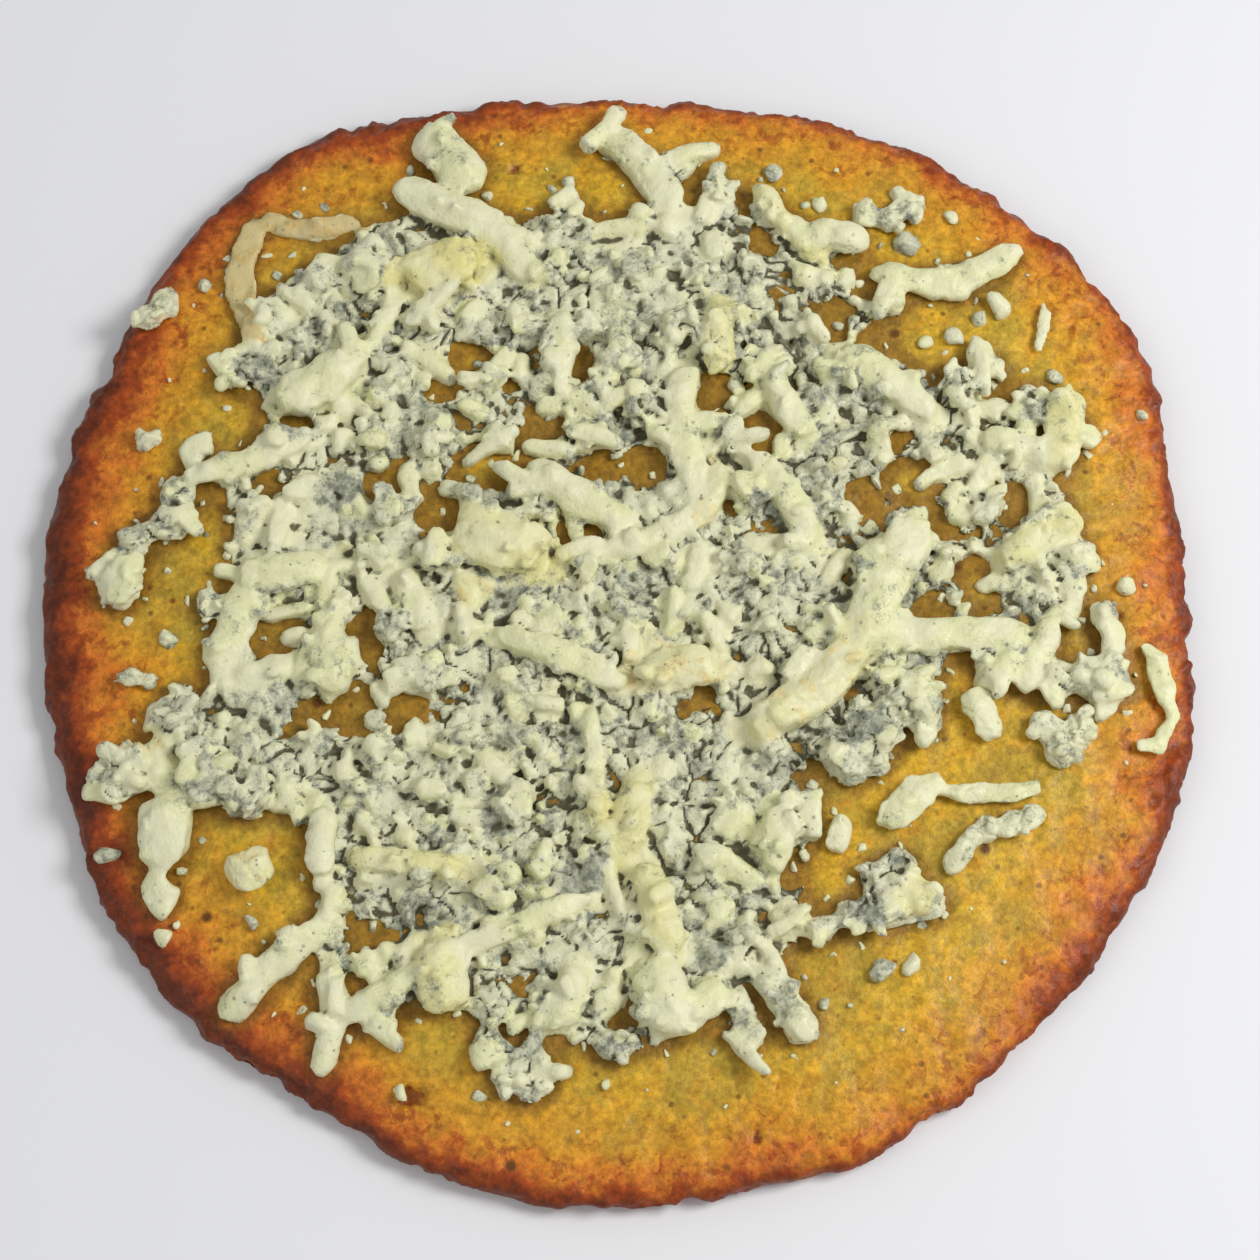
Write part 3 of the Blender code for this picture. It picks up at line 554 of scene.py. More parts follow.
@dataclass(frozen=True)
class FriedCrust:
    """The pancake's finish: golden in the middle, browned to dark at the rim, specked and oily, with
    painted shade and oil-darkening where the cheese lies.
    """

    gold: Colour = (0.66, 0.385, 0.024)
    olive: Colour = (0.46, 0.305, 0.032)
    amber: Colour = (0.63, 0.270, 0.018)
    orange: Colour = (0.58, 0.152, 0.018)
    brown: Colour = (0.30, 0.048, 0.007)
    char: Colour = (0.095, 0.018, 0.006)
    scorch: Colour = (0.175, 0.034, 0.008)
    speck: Colour = (0.13, 0.050, 0.008)
    # shade: painted shade, with some oil-darkening, for the crust in the cheese's gaps and round its edge
    shade: Colour = (0.23, 0.110, 0.012)

    # The dark pores: spacing, size in shares of it, seed and strength.
    pores: tuple[tuple[float, float, float, float], ...] = (
        (10.5, 0.090, 2.0, 1.0), (5.0, 0.100, 5.0, 0.75), (2.9, 0.103, 7.0, 0.5),
    )

    def material(self) -> bpy.types.Material:
        """Builds the material."""
        w = Wiring("fried_potato")
        inward, burnt, mark = w.painted("inward"), w.painted("burnt"), w.painted("mark")
        under, raised = w.painted("under_cheese"), w.painted("raised")
        cloud, mottle = w.noise(12.0, 3.0, 0.6, 9.0), w.noise(4.2, 4.0, 0.65, 2.0, 0.4)
        spots, grain = w.noise(2.2, 3.0, 0.6, 8.0), w.noise(0.9, 3.0, 0.6, 4.0)
        shred, blotch = w.noise(1.8, 3.0, 0.7, 6.0), w.noise(3.2, 4.0, 0.65, 31.0, 0.6)

        # Distances from the rim in millimetres, each made to waver so that no tone ends on a line.
        wavering = w.swayed(w.swayed(inward, mottle, 9.0), spots, 5.0)
        edge = w.maths("MULTIPLY_ADD", raised, -1.5, w.maths("MULTIPLY_ADD", burnt, -5.4, wavering))
        edge = w.swayed(edge, cloud, 11.0)
        reach = w.maths("MULTIPLY_ADD", burnt, -7.5, w.swayed(wavering, cloud, 20.0))
        wall = w.swayed(inward, blotch, 7.0)

        clouded = w.maths("MULTIPLY_ADD", under, 0.16, cloud)
        colour = w.blend(w.between(clouded, 0.42, 0.64), self.gold, self.olive)
        colour = w.blend(w.between(mottle, 0.46, 0.66, 0.0, 0.5), colour, self.amber)
        colour = w.blend(w.between(spots, 0.45, 0.62, 0.0, 0.65), colour, self.olive)
        colour = w.blend(w.between(reach, 5.0, 16.0, 0.80, 0.0), colour, self.amber)
        colour = w.blend(w.between(reach, 0.0, 6.5, 0.88, 0.0), colour, self.orange)
        near_rim = w.between(reach, 2.0, 15.0, 0.70, 0.03)
        colour = w.blend(w.maths("MULTIPLY", w.between(blotch, 0.52, 0.62), near_rim), colour, self.brown)
        colour = w.blend(w.between(edge, -1.0, 2.4, 0.94, 0.0), colour, self.brown)
        colour = w.blend(w.between(edge, -4.2, -0.6, 0.9, 0.0), colour, self.char)
        colour = w.blend(w.between(wall, 0.1, 2.3, 0.70, 0.0), colour, self.scorch)
        # Painted shade, partly oil-darkening: the crust darkens in the gaps of the cheese and round its
        # edge.
        colour = w.blend(w.between(under, 0.08, 0.50, 0.0, 0.78), colour, self.shade)

        for value, low, high in ((shred, 0.74, 1.24), (grain, 0.80, 1.16)):
            shade = w.between(value, 0.30, 0.70, low, high)
            tint = w.nodes.new("ShaderNodeCombineColor")
            for channel in tint.inputs:
                w.feed(channel, shade)
            colour = w.blend(1.0, colour, tint.outputs[0], "MULTIPLY")

        for spacing, size, seed, strength in self.pores:
            dots = w.between(w.cells(spacing, seed), size * 0.5, size * 1.4, strength, 0.0)
            here = w.between(w.noise(6.0, 1.0, 0.5, 20.0 + seed), 0.37, 0.49)
            colour = w.blend(w.maths("MULTIPLY", dots, here), colour, self.speck)
        scorched = w.maths("MULTIPLY", mark, w.between(shred, 0.36, 0.60, 1.25, 0.62))
        colour = w.blend(w.between(scorched, 0.10, 0.95, 0.0, 0.85), colour, self.scorch)

        w.set(Base_Color=colour)
        w.set(Roughness=w.between(mottle, 0.3, 0.7, 0.34, 0.54))
        w.set(Specular_IOR_Level=0.24)
        w.set(Normal=w.relief(grain, 0.12, w.relief(shred, 0.26)))
        return w.material


@dataclass(frozen=True)
class BlueCheese:
    """Melted blue cheese: pale crumbs, cream and yellow shreds, blue-grey mould in the hollows, and painted
    shade in the crevices and where the mass meets the pancake.
    """

    crumb: Colour = (0.68, 0.67, 0.46)
    cream: Colour = (0.75, 0.73, 0.48)
    fresh: Colour = (0.73, 0.72, 0.41)
    yellow: Colour = (0.73, 0.665, 0.27)
    peach: Colour = (0.80, 0.58, 0.19)
    film: Colour = (0.52, 0.37, 0.14)
    grey: Colour = (0.36, 0.37, 0.27)
    mould: Colour = (0.120, 0.136, 0.112)
    fleck: Colour = (0.17, 0.17, 0.11)
    # crevice: painted shade of deep crevices and of the mass's foot, partly the dark of mould
    crevice: Colour = (0.065, 0.054, 0.018)

    # The dark flecks: spacing, size in shares of it, and seed.
    flecks: tuple[tuple[float, float, float], ...] = ((3.7, 0.097, 4.0), (2.1, 0.106, 6.0))

    def material(self) -> bpy.types.Material:
        """Builds the material."""
        w = Wiring("blue_cheese")
        hollow, cream, yellow = w.painted("hollow"), w.painted("cream"), w.painted("yellow")
        peach, blue = w.painted("peach"), w.painted("blue")
        cloud, patch = w.noise(7.0, 2.0, 0.5, 3.0), w.noise(2.4, 3.0, 0.6, 7.0)
        fine, vein = w.noise(1.05, 2.0, 0.55, 1.0), w.noise(2.0, 3.0, 0.6, 12.0, 1.2)

        colour = w.blend(w.between(cloud, 0.42, 0.62), self.cream, self.fresh)
        colour = w.blend(cream, self.crumb, colour)
        yellowed = w.maths("MULTIPLY", yellow, w.between(cloud, 0.3, 0.6, 0.4, 1.0))
        colour = w.blend(yellowed, colour, self.yellow)
        toasted = w.maths("MULTIPLY", peach, w.between(patch, 0.48, 0.68, 0.0, 0.75))
        colour = w.blend(toasted, colour, self.peach)
        colour = w.blend(w.between(peach, 1.05, 1.6, 0.0, 0.65), colour, self.film)

        # How mouldy the cheese is: from about 0 on clean shreds to 1 in blue-grey hollows.
        dirt = w.maths("MULTIPLY_ADD", cream, -0.40, 0.40)
        for value, share in ((hollow, 0.45), (blue, 0.50), (patch, 2.0), (cloud, 1.6)):
            dirt = w.maths("MULTIPLY_ADD", value, share, dirt)
        dirt = w.maths("SUBTRACT", dirt, 1.8)
        colour = w.blend(w.between(dirt, 0.30, 1.00, 0.0, 0.80), colour, self.grey)
        specks = w.between(w.maths("MULTIPLY_ADD", dirt, 0.13, fine), 0.54, 0.76)
        specks = w.maths("MULTIPLY", specks, w.between(dirt, 0.10, 0.70, 0.0, 0.70))
        colour = w.blend(specks, colour, self.mould)
        thin = w.between(w.maths("ABSOLUTE", w.maths("SUBTRACT", vein, 0.5)), 0.0, 0.024, 1.0, 0.0)
        thin = w.maths("MULTIPLY", thin, w.between(dirt, 0.10, 0.50, 0.0, 0.65))
        colour = w.blend(thin, colour, self.mould)
        for spacing, size, seed in self.flecks:
            dots = w.between(w.cells(spacing, seed), size * 0.5, size * 1.5, 0.75, 0.0)
            here = w.between(w.noise(4.0, 1.0, 0.5, 30.0 + seed), 0.42, 0.56)
            colour = w.blend(w.maths("MULTIPLY", dots, here), colour, self.fleck)
        # Painted shade, partly dark mould: near-black where the surface is hollow, cracked or down at the
        # pancake.
        colour = w.blend(w.between(hollow, 0.55, 1.05, 0.0, 0.92), colour, self.crevice)

        w.set(Base_Color=colour)
        w.set(Roughness=w.between(patch, 0.3, 0.7, 0.38, 0.58))
        w.set(Specular_IOR_Level=0.36)
        w.set(Normal=w.relief(fine, 0.22, w.relief(patch, 0.34)))
        return w.material


# --------------------------------------------------------------------------- shapes of cheese


@dataclass(frozen=True)
class Shred:
    """A grated shred, melted soft: its bent path (x, y), its width, its level and its tone."""

    path: tuple[tuple[float, float], ...]
    width: float
    level: Level
    tone: Tone = Tone.CREAM

    STATIONS = 13
    SECTION = 14
    FLATNESS = 0.42
    FILM_THICKNESS = 0.9
    AXIS_HEIGHT = 0.45
    FULLNESS = 5.0
    UNEVEN = 0.22
    UNEVEN_LENGTH = 5.0

    def line(self) -> np.ndarray:
        """Points along the shred's middle, in millimetres, from a curve through the path."""
        path = np.array(self.path, dtype=float)
        ends = np.concatenate([[2 * path[0] - path[1]], path, [2 * path[-1] - path[-2]]])
        spans = len(path) - 1
        place = np.linspace(0.0, spans, self.STATIONS)
        first = np.minimum(place.astype(int), spans - 1)
        t = (place - first)[:, None]
        a, b, c, d = (ends[first + k] for k in range(4))
        return b + 0.5 * t * (c - a + t * (2 * a - 5 * b + 4 * c - d + t * (3 * (b - c) + d - a)))

    def thickness(self) -> float:
        """How thick the shred is, in millimetres."""
        return self.FILM_THICKNESS if self.level is Level.FILM else self.width * self.FLATNESS

    def axis(self, ground: HeightMap, rest_gap: float) -> np.ndarray:
        """The middle line in space, in metres, over the pancake's top."""
        line = self.line() * MM
        up = rest_gap + max(0.0, self.level.value) + self.thickness() * self.AXIS_HEIGHT
        return np.column_stack([line, ground.at(line) + up * MM])

    def shell(self, ground: HeightMap, rest_gap: float) -> Shell:
        """The shred as a closed tube with round ends.

        Args:
            ground: The height of the pancake's top.
            rest_gap: The gap between the pancake and the cheese.

        Returns:
            A shell of triangles.
        """
        axis = self.axis(ground, rest_gap)
        heading = np.gradient(axis[:, :2], axis=0)
        heading /= np.linalg.norm(heading, axis=1, keepdims=True)
        side = np.column_stack([-heading[:, 1], heading[:, 0], np.zeros(len(axis))])
        t = np.linspace(-1.0, 1.0, self.STATIONS)
        share = (1.0 - np.abs(t * 0.985) ** self.FULLNESS) ** 0.5
        share *= 1.0 + self.UNEVEN * lattice_noise(axis, self.UNEVEN_LENGTH * MM, 3)
        angle = np.linspace(0.0, 2 * math.pi, self.SECTION, endpoint=False)
        across = np.sign(np.cos(angle)) * np.abs(np.cos(angle)) ** 0.75 * self.width / 2 * MM
        up = np.sign(np.sin(angle)) * np.abs(np.sin(angle)) ** 0.5 * self.thickness() * 0.55 * MM
        ring = (axis[:, None] + share[:, None, None] * (
            across[None, :, None] * side[:, None] + up[None, :, None] * np.array([0.0, 0.0, 1.0])))
        points = np.concatenate([ring.reshape(-1, 3), axis[:1], axis[-1:]])
        k = np.arange(self.SECTION)
        n = (k + 1) % self.SECTION
        faces = []
        for station in range(self.STATIONS - 1):
            near, far = station * self.SECTION, (station + 1) * self.SECTION
            faces.append(np.stack([near + k, near + n, far + n], axis=1))
            faces.append(np.stack([near + k, far + n, far + k], axis=1))
        last, tip = (self.STATIONS - 1) * self.SECTION, len(points)
        faces.append(np.stack([n, k, np.full_like(k, tip - 2)], axis=1))
        faces.append(np.stack([last + k, last + n, np.full_like(k, tip - 1)], axis=1))
        return Shell(points, np.concatenate(faces)[:, ::-1])


@dataclass(frozen=True)
class Patch:
    """A round-edged area of one tone: its middle, its two half-widths and its turn in degrees."""

    x: float
    y: float
    along: float
    across: float
    turn: float
    tone: Tone = Tone.GREY

    def cover(self, points: np.ndarray) -> np.ndarray:
        """How much the patch covers each point, from 0 to 1."""
        turn = math.radians(self.turn)
        dx, dy = points[:, 0] / MM - self.x, points[:, 1] / MM - self.y
        along = (dx * math.cos(turn) + dy * math.sin(turn)) / self.along
        across = (dy * math.cos(turn) - dx * math.sin(turn)) / self.across
        return 1.0 - ease(np.hypot(along, across), 0.75, 1.15)


SHREDS = (
    Shred(((-34, 88.5), (-29, 84), (-24.5, 76.5)), 8.6, Level.PANCAKE, Tone.SMEARED),
    Shred(((-37.5, 78), (-29, 73), (-19, 69)), 6.4, Level.SHEET),
    Shred(((-20, 70), (-18, 65), (-14, 61)), 5.4, Level.SHEET),
    Shred(((-35.5, 60), (-30, 62.5), (-23.5, 63)), 7.8, Level.TOP, Tone.BUTTER),
    Shred(((-3.5, 88.5), (3, 84), (10.5, 73)), 6.4, Level.PANCAKE, Tone.SMEARED),
    Shred(((8, 79), (12, 82.5), (15, 85)), 3.4, Level.PANCAKE, Tone.GREY),
    Shred(((24, 78), (28, 71.5), (34.5, 65)), 4.4, Level.SHEET, Tone.YELLOW),
    Shred(((32, 69), (37, 68.5), (43, 67.5)), 5.6, Level.SHEET),
    Shred(((43, 62.5), (56, 60), (69, 67)), 5.2, Level.PANCAKE),
    Shred(((56, 61), (57.5, 58.5), (58, 56.5)), 4.2, Level.PANCAKE),
    Shred(((38, 47), (44, 43), (53, 35.5)), 6.0, Level.SHEET),
    Shred(((61, 31.5), (67, 31), (73, 27.5)), 4.6, Level.SHEET),
    Shred(((76, 40.5), (74.5, 33), (75, 26)), 5.8, Level.SHEET, Tone.YELLOW),
    Shred(((64, 9.5), (70, 14), (77.5, 17.5)), 5.6, Level.SHEET, Tone.YELLOW),
    Shred(((50.5, 17), (43.5, 4), (39.5, -5)), 7.6, Level.TOP),
    Shred(((40, -4), (34, -12), (21.5, -19.5)), 7.2, Level.TOP, Tone.PEACH),
    Shred(((40, -4), (52, -3), (67, -2.5)), 5.6, Level.SHEET),
    Shred(((72, 0), (69.5, -6), (66, -13)), 4.6, Level.SHEET),
    Shred(((80, -1), (82, -3), (80, -7)), 4.0, Level.SHEET),
    Shred(((26, 44.5), (28, 38), (31, 32)), 5.2, Level.SHEET),
    Shred(((22.5, 28.5), (28, 22), (32.5, 13.5)), 5.4, Level.SHEET),
    Shred(((17.5, 55.5), (17, 49), (17.5, 43.5)), 5.2, Level.TOP, Tone.YELLOW),
    Shred(((11.5, 44), (11, 35), (13, 22)), 5.6, Level.SHEET),
    Shred(((-9.2, 54), (-8.8, 47), (-9.2, 39)), 3.4, Level.TOP),
    Shred(((-14.5, 26.5), (-8, 22), (1, 16.5)), 6.0, Level.SHEET),
    Shred(((-2.5, 11.5), (7, 14), (16, 20)), 4.6, Level.SHEET),
    Shred(((16.5, 27), (17, 22), (14, 17)), 3.4, Level.TOP, Tone.PEACH),
    Shred(((-27, 15.5), (-19, 13), (-12, 10)), 9.0, Level.SHEET, Tone.YELLOW),
    Shred(((-20, -3), (-10, -6), (1.5, -12)), 4.8, Level.TOP),
    Shred(((-27, -11), (-33, -9), (-38, -13)), 4.6, Level.SHEET, Tone.GREY),
    Shred(((4, -9.5), (11, -9), (16, -8)), 7.0, Level.SHEET, Tone.PEACH),
    Shred(((-4.6, -16), (-3.4, -26), (-3, -37)), 3.2, Level.TOP),
    Shred(((3.5, -28), (2.5, -34), (2, -40)), 6.0, Level.SHEET, Tone.YELLOW),
    Shred(((4.5, -42), (7, -50), (8.5, -57)), 6.2, Level.TOP, Tone.YELLOW),
    Shred(((5, -58), (8, -64), (9.5, -70)), 8.0, Level.SHEET),
    Shred(((8, -69), (13, -66), (17, -61)), 6.0, Level.SHEET),
    Shred(((19, -61), (20.5, -68), (20.5, -73.5)), 4.6, Level.PANCAKE, Tone.GREY),
    Shred(((23, -58), (27, -64), (31, -71)), 6.2, Level.PANCAKE, Tone.GREY),
    Shred(((-55.5, 38), (-50.5, 40.5), (-46, 43.5)), 8.4, Level.SHEET),
    Shred(((-46, 43), (-41, 49), (-37.5, 57)), 3.4, Level.SHEET),
    Shred(((-71, 25), (-62, 27), (-50.5, 32.5)), 4.6, Level.SHEET),
    Shred(((-71, 26), (-70.5, 30.5), (-67, 31)), 3.8, Level.PANCAKE),
    Shred(((-60, 10), (-57, 7.5), (-48, 9.5)), 5.6, Level.SHEET),
    Shred(((-60, 7), (-62.5, -1), (-66, -9.5)), 6.2, Level.PANCAKE),
    Shred(((-67, -10), (-60, -10), (-53, -7.5)), 4.8, Level.PANCAKE),
    Shred(((-48, -2), (-47, -7), (-45.5, -13)), 6.2, Level.SHEET),
    Shred(((-36, 8), (-33, 3), (-31, -2)), 5.0, Level.SHEET),
    Shred(((-76, -21), (-74.5, -25), (-72, -29)), 6.2, Level.PANCAKE, Tone.PEACH),
    Shred(((-73.5, -30), (-73, -36), (-75, -42)), 9.0, Level.PANCAKE),
    Shred(((-75.5, -43), (-73.5, -47), (-71, -48.5)), 5.6, Level.PANCAKE),
    Shred(((-47, -33), (-47.5, -38), (-48, -44)), 4.4, Level.TOP),
    Shred(((-43, -41), (-34, -41.5), (-24.5, -43)), 4.4, Level.TOP, Tone.YELLOW),
    Shred(((-47, -51), (-57, -60), (-63, -67)), 5.4, Level.PANCAKE),
    Shred(((-46.5, -58), (-45, -67), (-47.5, -76)), 4.6, Level.PANCAKE),
    Shred(((-44, -67), (-38, -63.5), (-31, -59)), 4.6, Level.SHEET),
    Shred(((-28.5, -55), (-28, -60), (-27, -66.5)), 8.0, Level.SHEET, Tone.YELLOW),
    Shred(((-27, -57), (-16, -52.5), (-4, -47.5)), 4.2, Level.TOP),
    Shred(((-6, -59), (-8, -64), (-8.5, -69)), 5.6, Level.SHEET),
    Shred(((26, -32), (26.5, -37), (25, -43)), 5.6, Level.SHEET),
    Shred(((-61, 50.5), (-64, 61), (-61, 73)), 5.0, Level.FILM, Tone.FILM),
    Shred(((-61, 73), (-54, 70.5), (-43.5, 71.5)), 3.8, Level.FILM, Tone.FILM),
)

# Smooth or discoloured areas of the melted mass.
PATCHES = (
    Patch(-16.5, 12, 6.5, 5.0, 20, Tone.YELLOW),
    Patch(8, -8, 8.0, 4.2, 0, Tone.PEACH),
    Patch(0, -33, 5.5, 3.4, 0, Tone.YELLOW),
    Patch(-29.5, 62.5, 6.6, 3.8, 12, Tone.BUTTER),
    Patch(-24, 5, 4.0, 3.0, 90, Tone.PEACH),
    Patch(24.5, 13, 3.4, 2.2, 0, Tone.CREAM),
    Patch(-82, 6.5, 4.6, 4.2, 0, Tone.CREAM),
    Patch(76, -8, 5.0, 6.0, 0, Tone.ASHEN),
    Patch(-0.5, 53, 3.4, 8.5, 0, Tone.ASHEN),
    Patch(48, -47, 4.0, 3.4, 0, Tone.YELLOW),
    Patch(-32, -50, 4.5, 3.6, 0, Tone.BLUE),
    Patch(-5, -44, 4.0, 3.0, 0, Tone.BLUE),
    Patch(16, -57, 3.6, 2.6, 0, Tone.BLUE),
    Patch(-19, -35, 3.0, 2.4, 0, Tone.BLUE),
    Patch(39, -19, 5.0, 3.0, 0, Tone.BLUE),
    Patch(-60, 44, 3.2, 2.6, 0, Tone.BLUE),
    Patch(68, 7, 4.2, 3.2, 0, Tone.ASHEN),
    Patch(40, -50, 3.4, 3.0, 0, Tone.BLUE),
    Patch(-47, 22, 5.0, 3.4, 10, Tone.BLUE),
    Patch(-33, 38, 5.0, 3.0, -15, Tone.MOULDY),
    Patch(-24, 22, 5.0, 3.4, 0, Tone.MOULDY),
    Patch(-53, 33, 4.0, 3.0, 20, Tone.MOULDY),
)

# Small holes in the melted mass: x, y and radius.
HOLES = (
    (-5.5, -48.5, 1.2), (-22, -52, 1.1), (3, -51, 1.0), (19, -57.5, 1.1), (-30, 7, 1.2), (-25, -11.5, 1.0),
)


@dataclass
class Strewn:
    """Crumbs that lie somewhere: their skin, and each one's middle, radius and cleanness."""

    shell: Shell
    middles: np.ndarray
    radii: np.ndarray
    clean: np.ndarray

    @classmethod
    def joined(cls, many: list[Strewn]) -> Strewn:
        """Several strewings as one."""
        return cls(Shell.joined([one.shell for one in many]), *(
            np.concatenate([getattr(one, name) for one in many]) for name in ("middles", "radii", "clean")))

    def cleanness(self, points: np.ndarray) -> np.ndarray:
        """How clean the crumb at each point is, from 0 to 1, and 0 where there is none."""
        tree = KDTree(len(self.middles))
        for number, middle in enumerate(self.middles):
            tree.insert(middle, number)
        tree.balance()
        found = np.zeros(len(points))
        for row, point in enumerate(points):
            near = min(((away / self.radii[number], number) for _, number, away in tree.find_n(point, 4)),
                       default=(math.inf, 0))
            if near[0] < 1.25:
                found[row] = self.clean[near[1]]
        return found


class TreeWiring:
    """A Geometry Nodes tree that is built in a few words."""

    def __init__(self, name: str, **ports: str) -> None:
        """Starts a tree with geometry in and out, and a named input of each kind given."""
        self.tree = bpy.data.node_groups.new(name, "GeometryNodeTree")
        for port, kind in {"Geometry": "Geometry", **ports}.items():
            self.tree.interface.new_socket(port, in_out="INPUT", socket_type="NodeSocket" + kind)
        self.tree.interface.new_socket("Geometry", in_out="OUTPUT", socket_type="NodeSocketGeometry")

    def add(self, kind: str, inputs: dict[int | str, Socket | float | str] | None = None,
            **settings: str) -> bpy.types.Node:
        """Adds a node.

        Args:
            kind: The node's type.
            inputs: What feeds its inputs, by name or number: a socket or a value.
            settings: The node's own settings.

        Returns:
            The node.
        """
        node = self.tree.nodes.new(kind)
        for name, value in settings.items():
            setattr(node, name, value)
        for name, value in (inputs or {}).items():
            if isinstance(value, bpy.types.NodeSocket):
                self.tree.links.new(value, node.inputs[name])
            else:
                node.inputs[name].default_value = value
        return node

    def maths(self, operation: str, *values: Socket | float) -> Socket:
        """One Math node's result."""
        return self.add("ShaderNodeMath", dict(enumerate(values)), operation=operation).outputs[0]


@dataclass(frozen=True)
class Crumbs:
    """Crumbs strewn over a surface by a Geometry Nodes tree. Sizes are half-lengths (x, y, z)."""

    spacing: float
    smallest: tuple[float, float, float]
    largest: tuple[float, float, float]
    seed: int
    clean: float = 0.5  # the share of them that is cream and not mouldy
    fineness: int = 3
    tilt: float = 0.45  # radians
    blunt: float = 0.65  # 1 for an egg, towards 0 for a block

    DENSEST = 3.0  # points tried for each spacing squared
    CLUMPING, CLUMP = 0.35, 12.0  # how far the clean ones keep together, over that many millimetres
    MIXED = 0.12  # chances this close to the clean share give crumbs that are partly clean

    def tree(self) -> bpy.types.NodeTree:
        """Builds the tree: points over the surface, a rough ball on each, realized and dressed."""
        t = TreeWiring("strewn_crumbs", Spacing="Float", Smallest="Vector", Largest="Vector", Tilt="Float",
                       Blunt="Float", Seed="Int", Material="Material")
        given = t.add("NodeGroupInput").outputs
        dense = t.maths("DIVIDE", self.DENSEST, t.maths("MULTIPLY", given["Spacing"], given["Spacing"]))
        where = t.add("GeometryNodeInputNamedAttribute", {"Name": "crumbly"}, data_type="FLOAT")
        spread = t.add("GeometryNodeDistributePointsOnFaces", {
            "Mesh": given["Geometry"], "Distance Min": given["Spacing"], "Density Max": dense,
            "Density Factor": where.outputs["Attribute"], "Seed": given["Seed"],
        }, distribute_method="POISSON")
        size = t.add("FunctionNodeRandomValue", {
            "Min": given["Smallest"], "Max": given["Largest"], "Seed": given["Seed"],
        }, data_type="FLOAT_VECTOR")
        turns = {}
        for port, sign in (("Min", -1.0), ("Max", 1.0)):
            tilt = t.maths("MULTIPLY", given["Tilt"], sign)
            corner = t.add("ShaderNodeCombineXYZ", {"X": tilt, "Y": tilt, "Z": sign * math.pi})
            turns[port] = corner.outputs[0]
        turn = t.add("FunctionNodeRandomValue", {**turns, "Seed": given["Seed"]}, data_type="FLOAT_VECTOR")
        rotation = t.add("FunctionNodeEulerToRotation", {0: turn.outputs["Value"]})
        place = t.add("GeometryNodeInstanceOnPoints", {
            "Points": spread.outputs["Points"], "Instance": self.chunk(t, given["Blunt"]),
            "Rotation": rotation.outputs[0], "Scale": size.outputs["Value"],
        })
        real = t.add("GeometryNodeRealizeInstances", {0: place.outputs[0]})
        dress = t.add("GeometryNodeSetMaterial", {
            "Geometry": real.outputs[0], "Material": given["Material"],
        })
        t.add("NodeGroupOutput", {0: dress.outputs[0]})
        return t.tree

    def chunk(self, t: TreeWiring, blunt: Socket) -> Socket:
        """Adds a ball of radius one whose sides are flattened towards a block's."""
        ball = t.add("GeometryNodeMeshIcoSphere", {"Radius": 1.0, "Subdivisions": self.fineness})
        place = t.add("ShaderNodeSeparateXYZ", {0: t.add("GeometryNodeInputPosition").outputs[0]})
        corner = {}
        for axis, side in enumerate(place.outputs):
            swollen = t.maths("POWER", t.maths("ABSOLUTE", side), blunt)
            corner[axis] = t.maths("MULTIPLY", swollen, t.maths("SIGN", side))
        moved = t.add("ShaderNodeCombineXYZ", corner).outputs[0]
        return t.add("GeometryNodeSetPosition", {
            "Geometry": ball.outputs["Mesh"], "Position": moved,
        }).outputs[0]

    def over(self, surface: Shell, crumbly: np.ndarray, finish: bpy.types.Material) -> Strewn:
        """Strews the crumbs.

        Args:
            surface: What they lie on.
            crumbly: For each of its points, from 0 where none lies to 1.
            finish: The material that the tree sets.

        Returns:
            The crumbs, which may overlap.
        """
        mesh = surface.mesh("surface")
        keep_values(mesh, crumbly=crumbly)
        piece = link("surface", mesh)
        tree = self.tree()
        strewn = piece.modifiers.new("Crumbs", "NODES")
        strewn.node_group = tree
        values = {
            "Spacing": self.spacing * MM,
            "Smallest": [MM * size for size in self.smallest],
            "Largest": [MM * size for size in self.largest],
            "Tilt": self.tilt,
            "Blunt": self.blunt,
            "Seed": self.seed,
            "Material": finish,
        }
        for item in tree.interface.items_tree:
            if item.in_out == "INPUT" and item.name in values:
                strewn[item.identifier] = values[item.name]
        shell = evaluated_shell(piece)
        corners = 10 * 4 ** (self.fineness - 1) + 2
        balls = shell.points.reshape(-1, corners, 3)
        middles = balls.mean(axis=1)
        radii = np.linalg.norm(balls - middles[:, None], axis=2).mean(axis=1)
        chance = np.random.default_rng(self.seed).random(len(middles))
        chance += self.CLUMPING * lattice_noise(middles, self.CLUMP * MM, self.seed)
        clean = 1.0 - ease(chance, self.clean - self.MIXED, self.clean + self.MIXED)
        return Strewn(shell, middles, radii, clean)


# --------------------------------------------------------------------------- the pancake


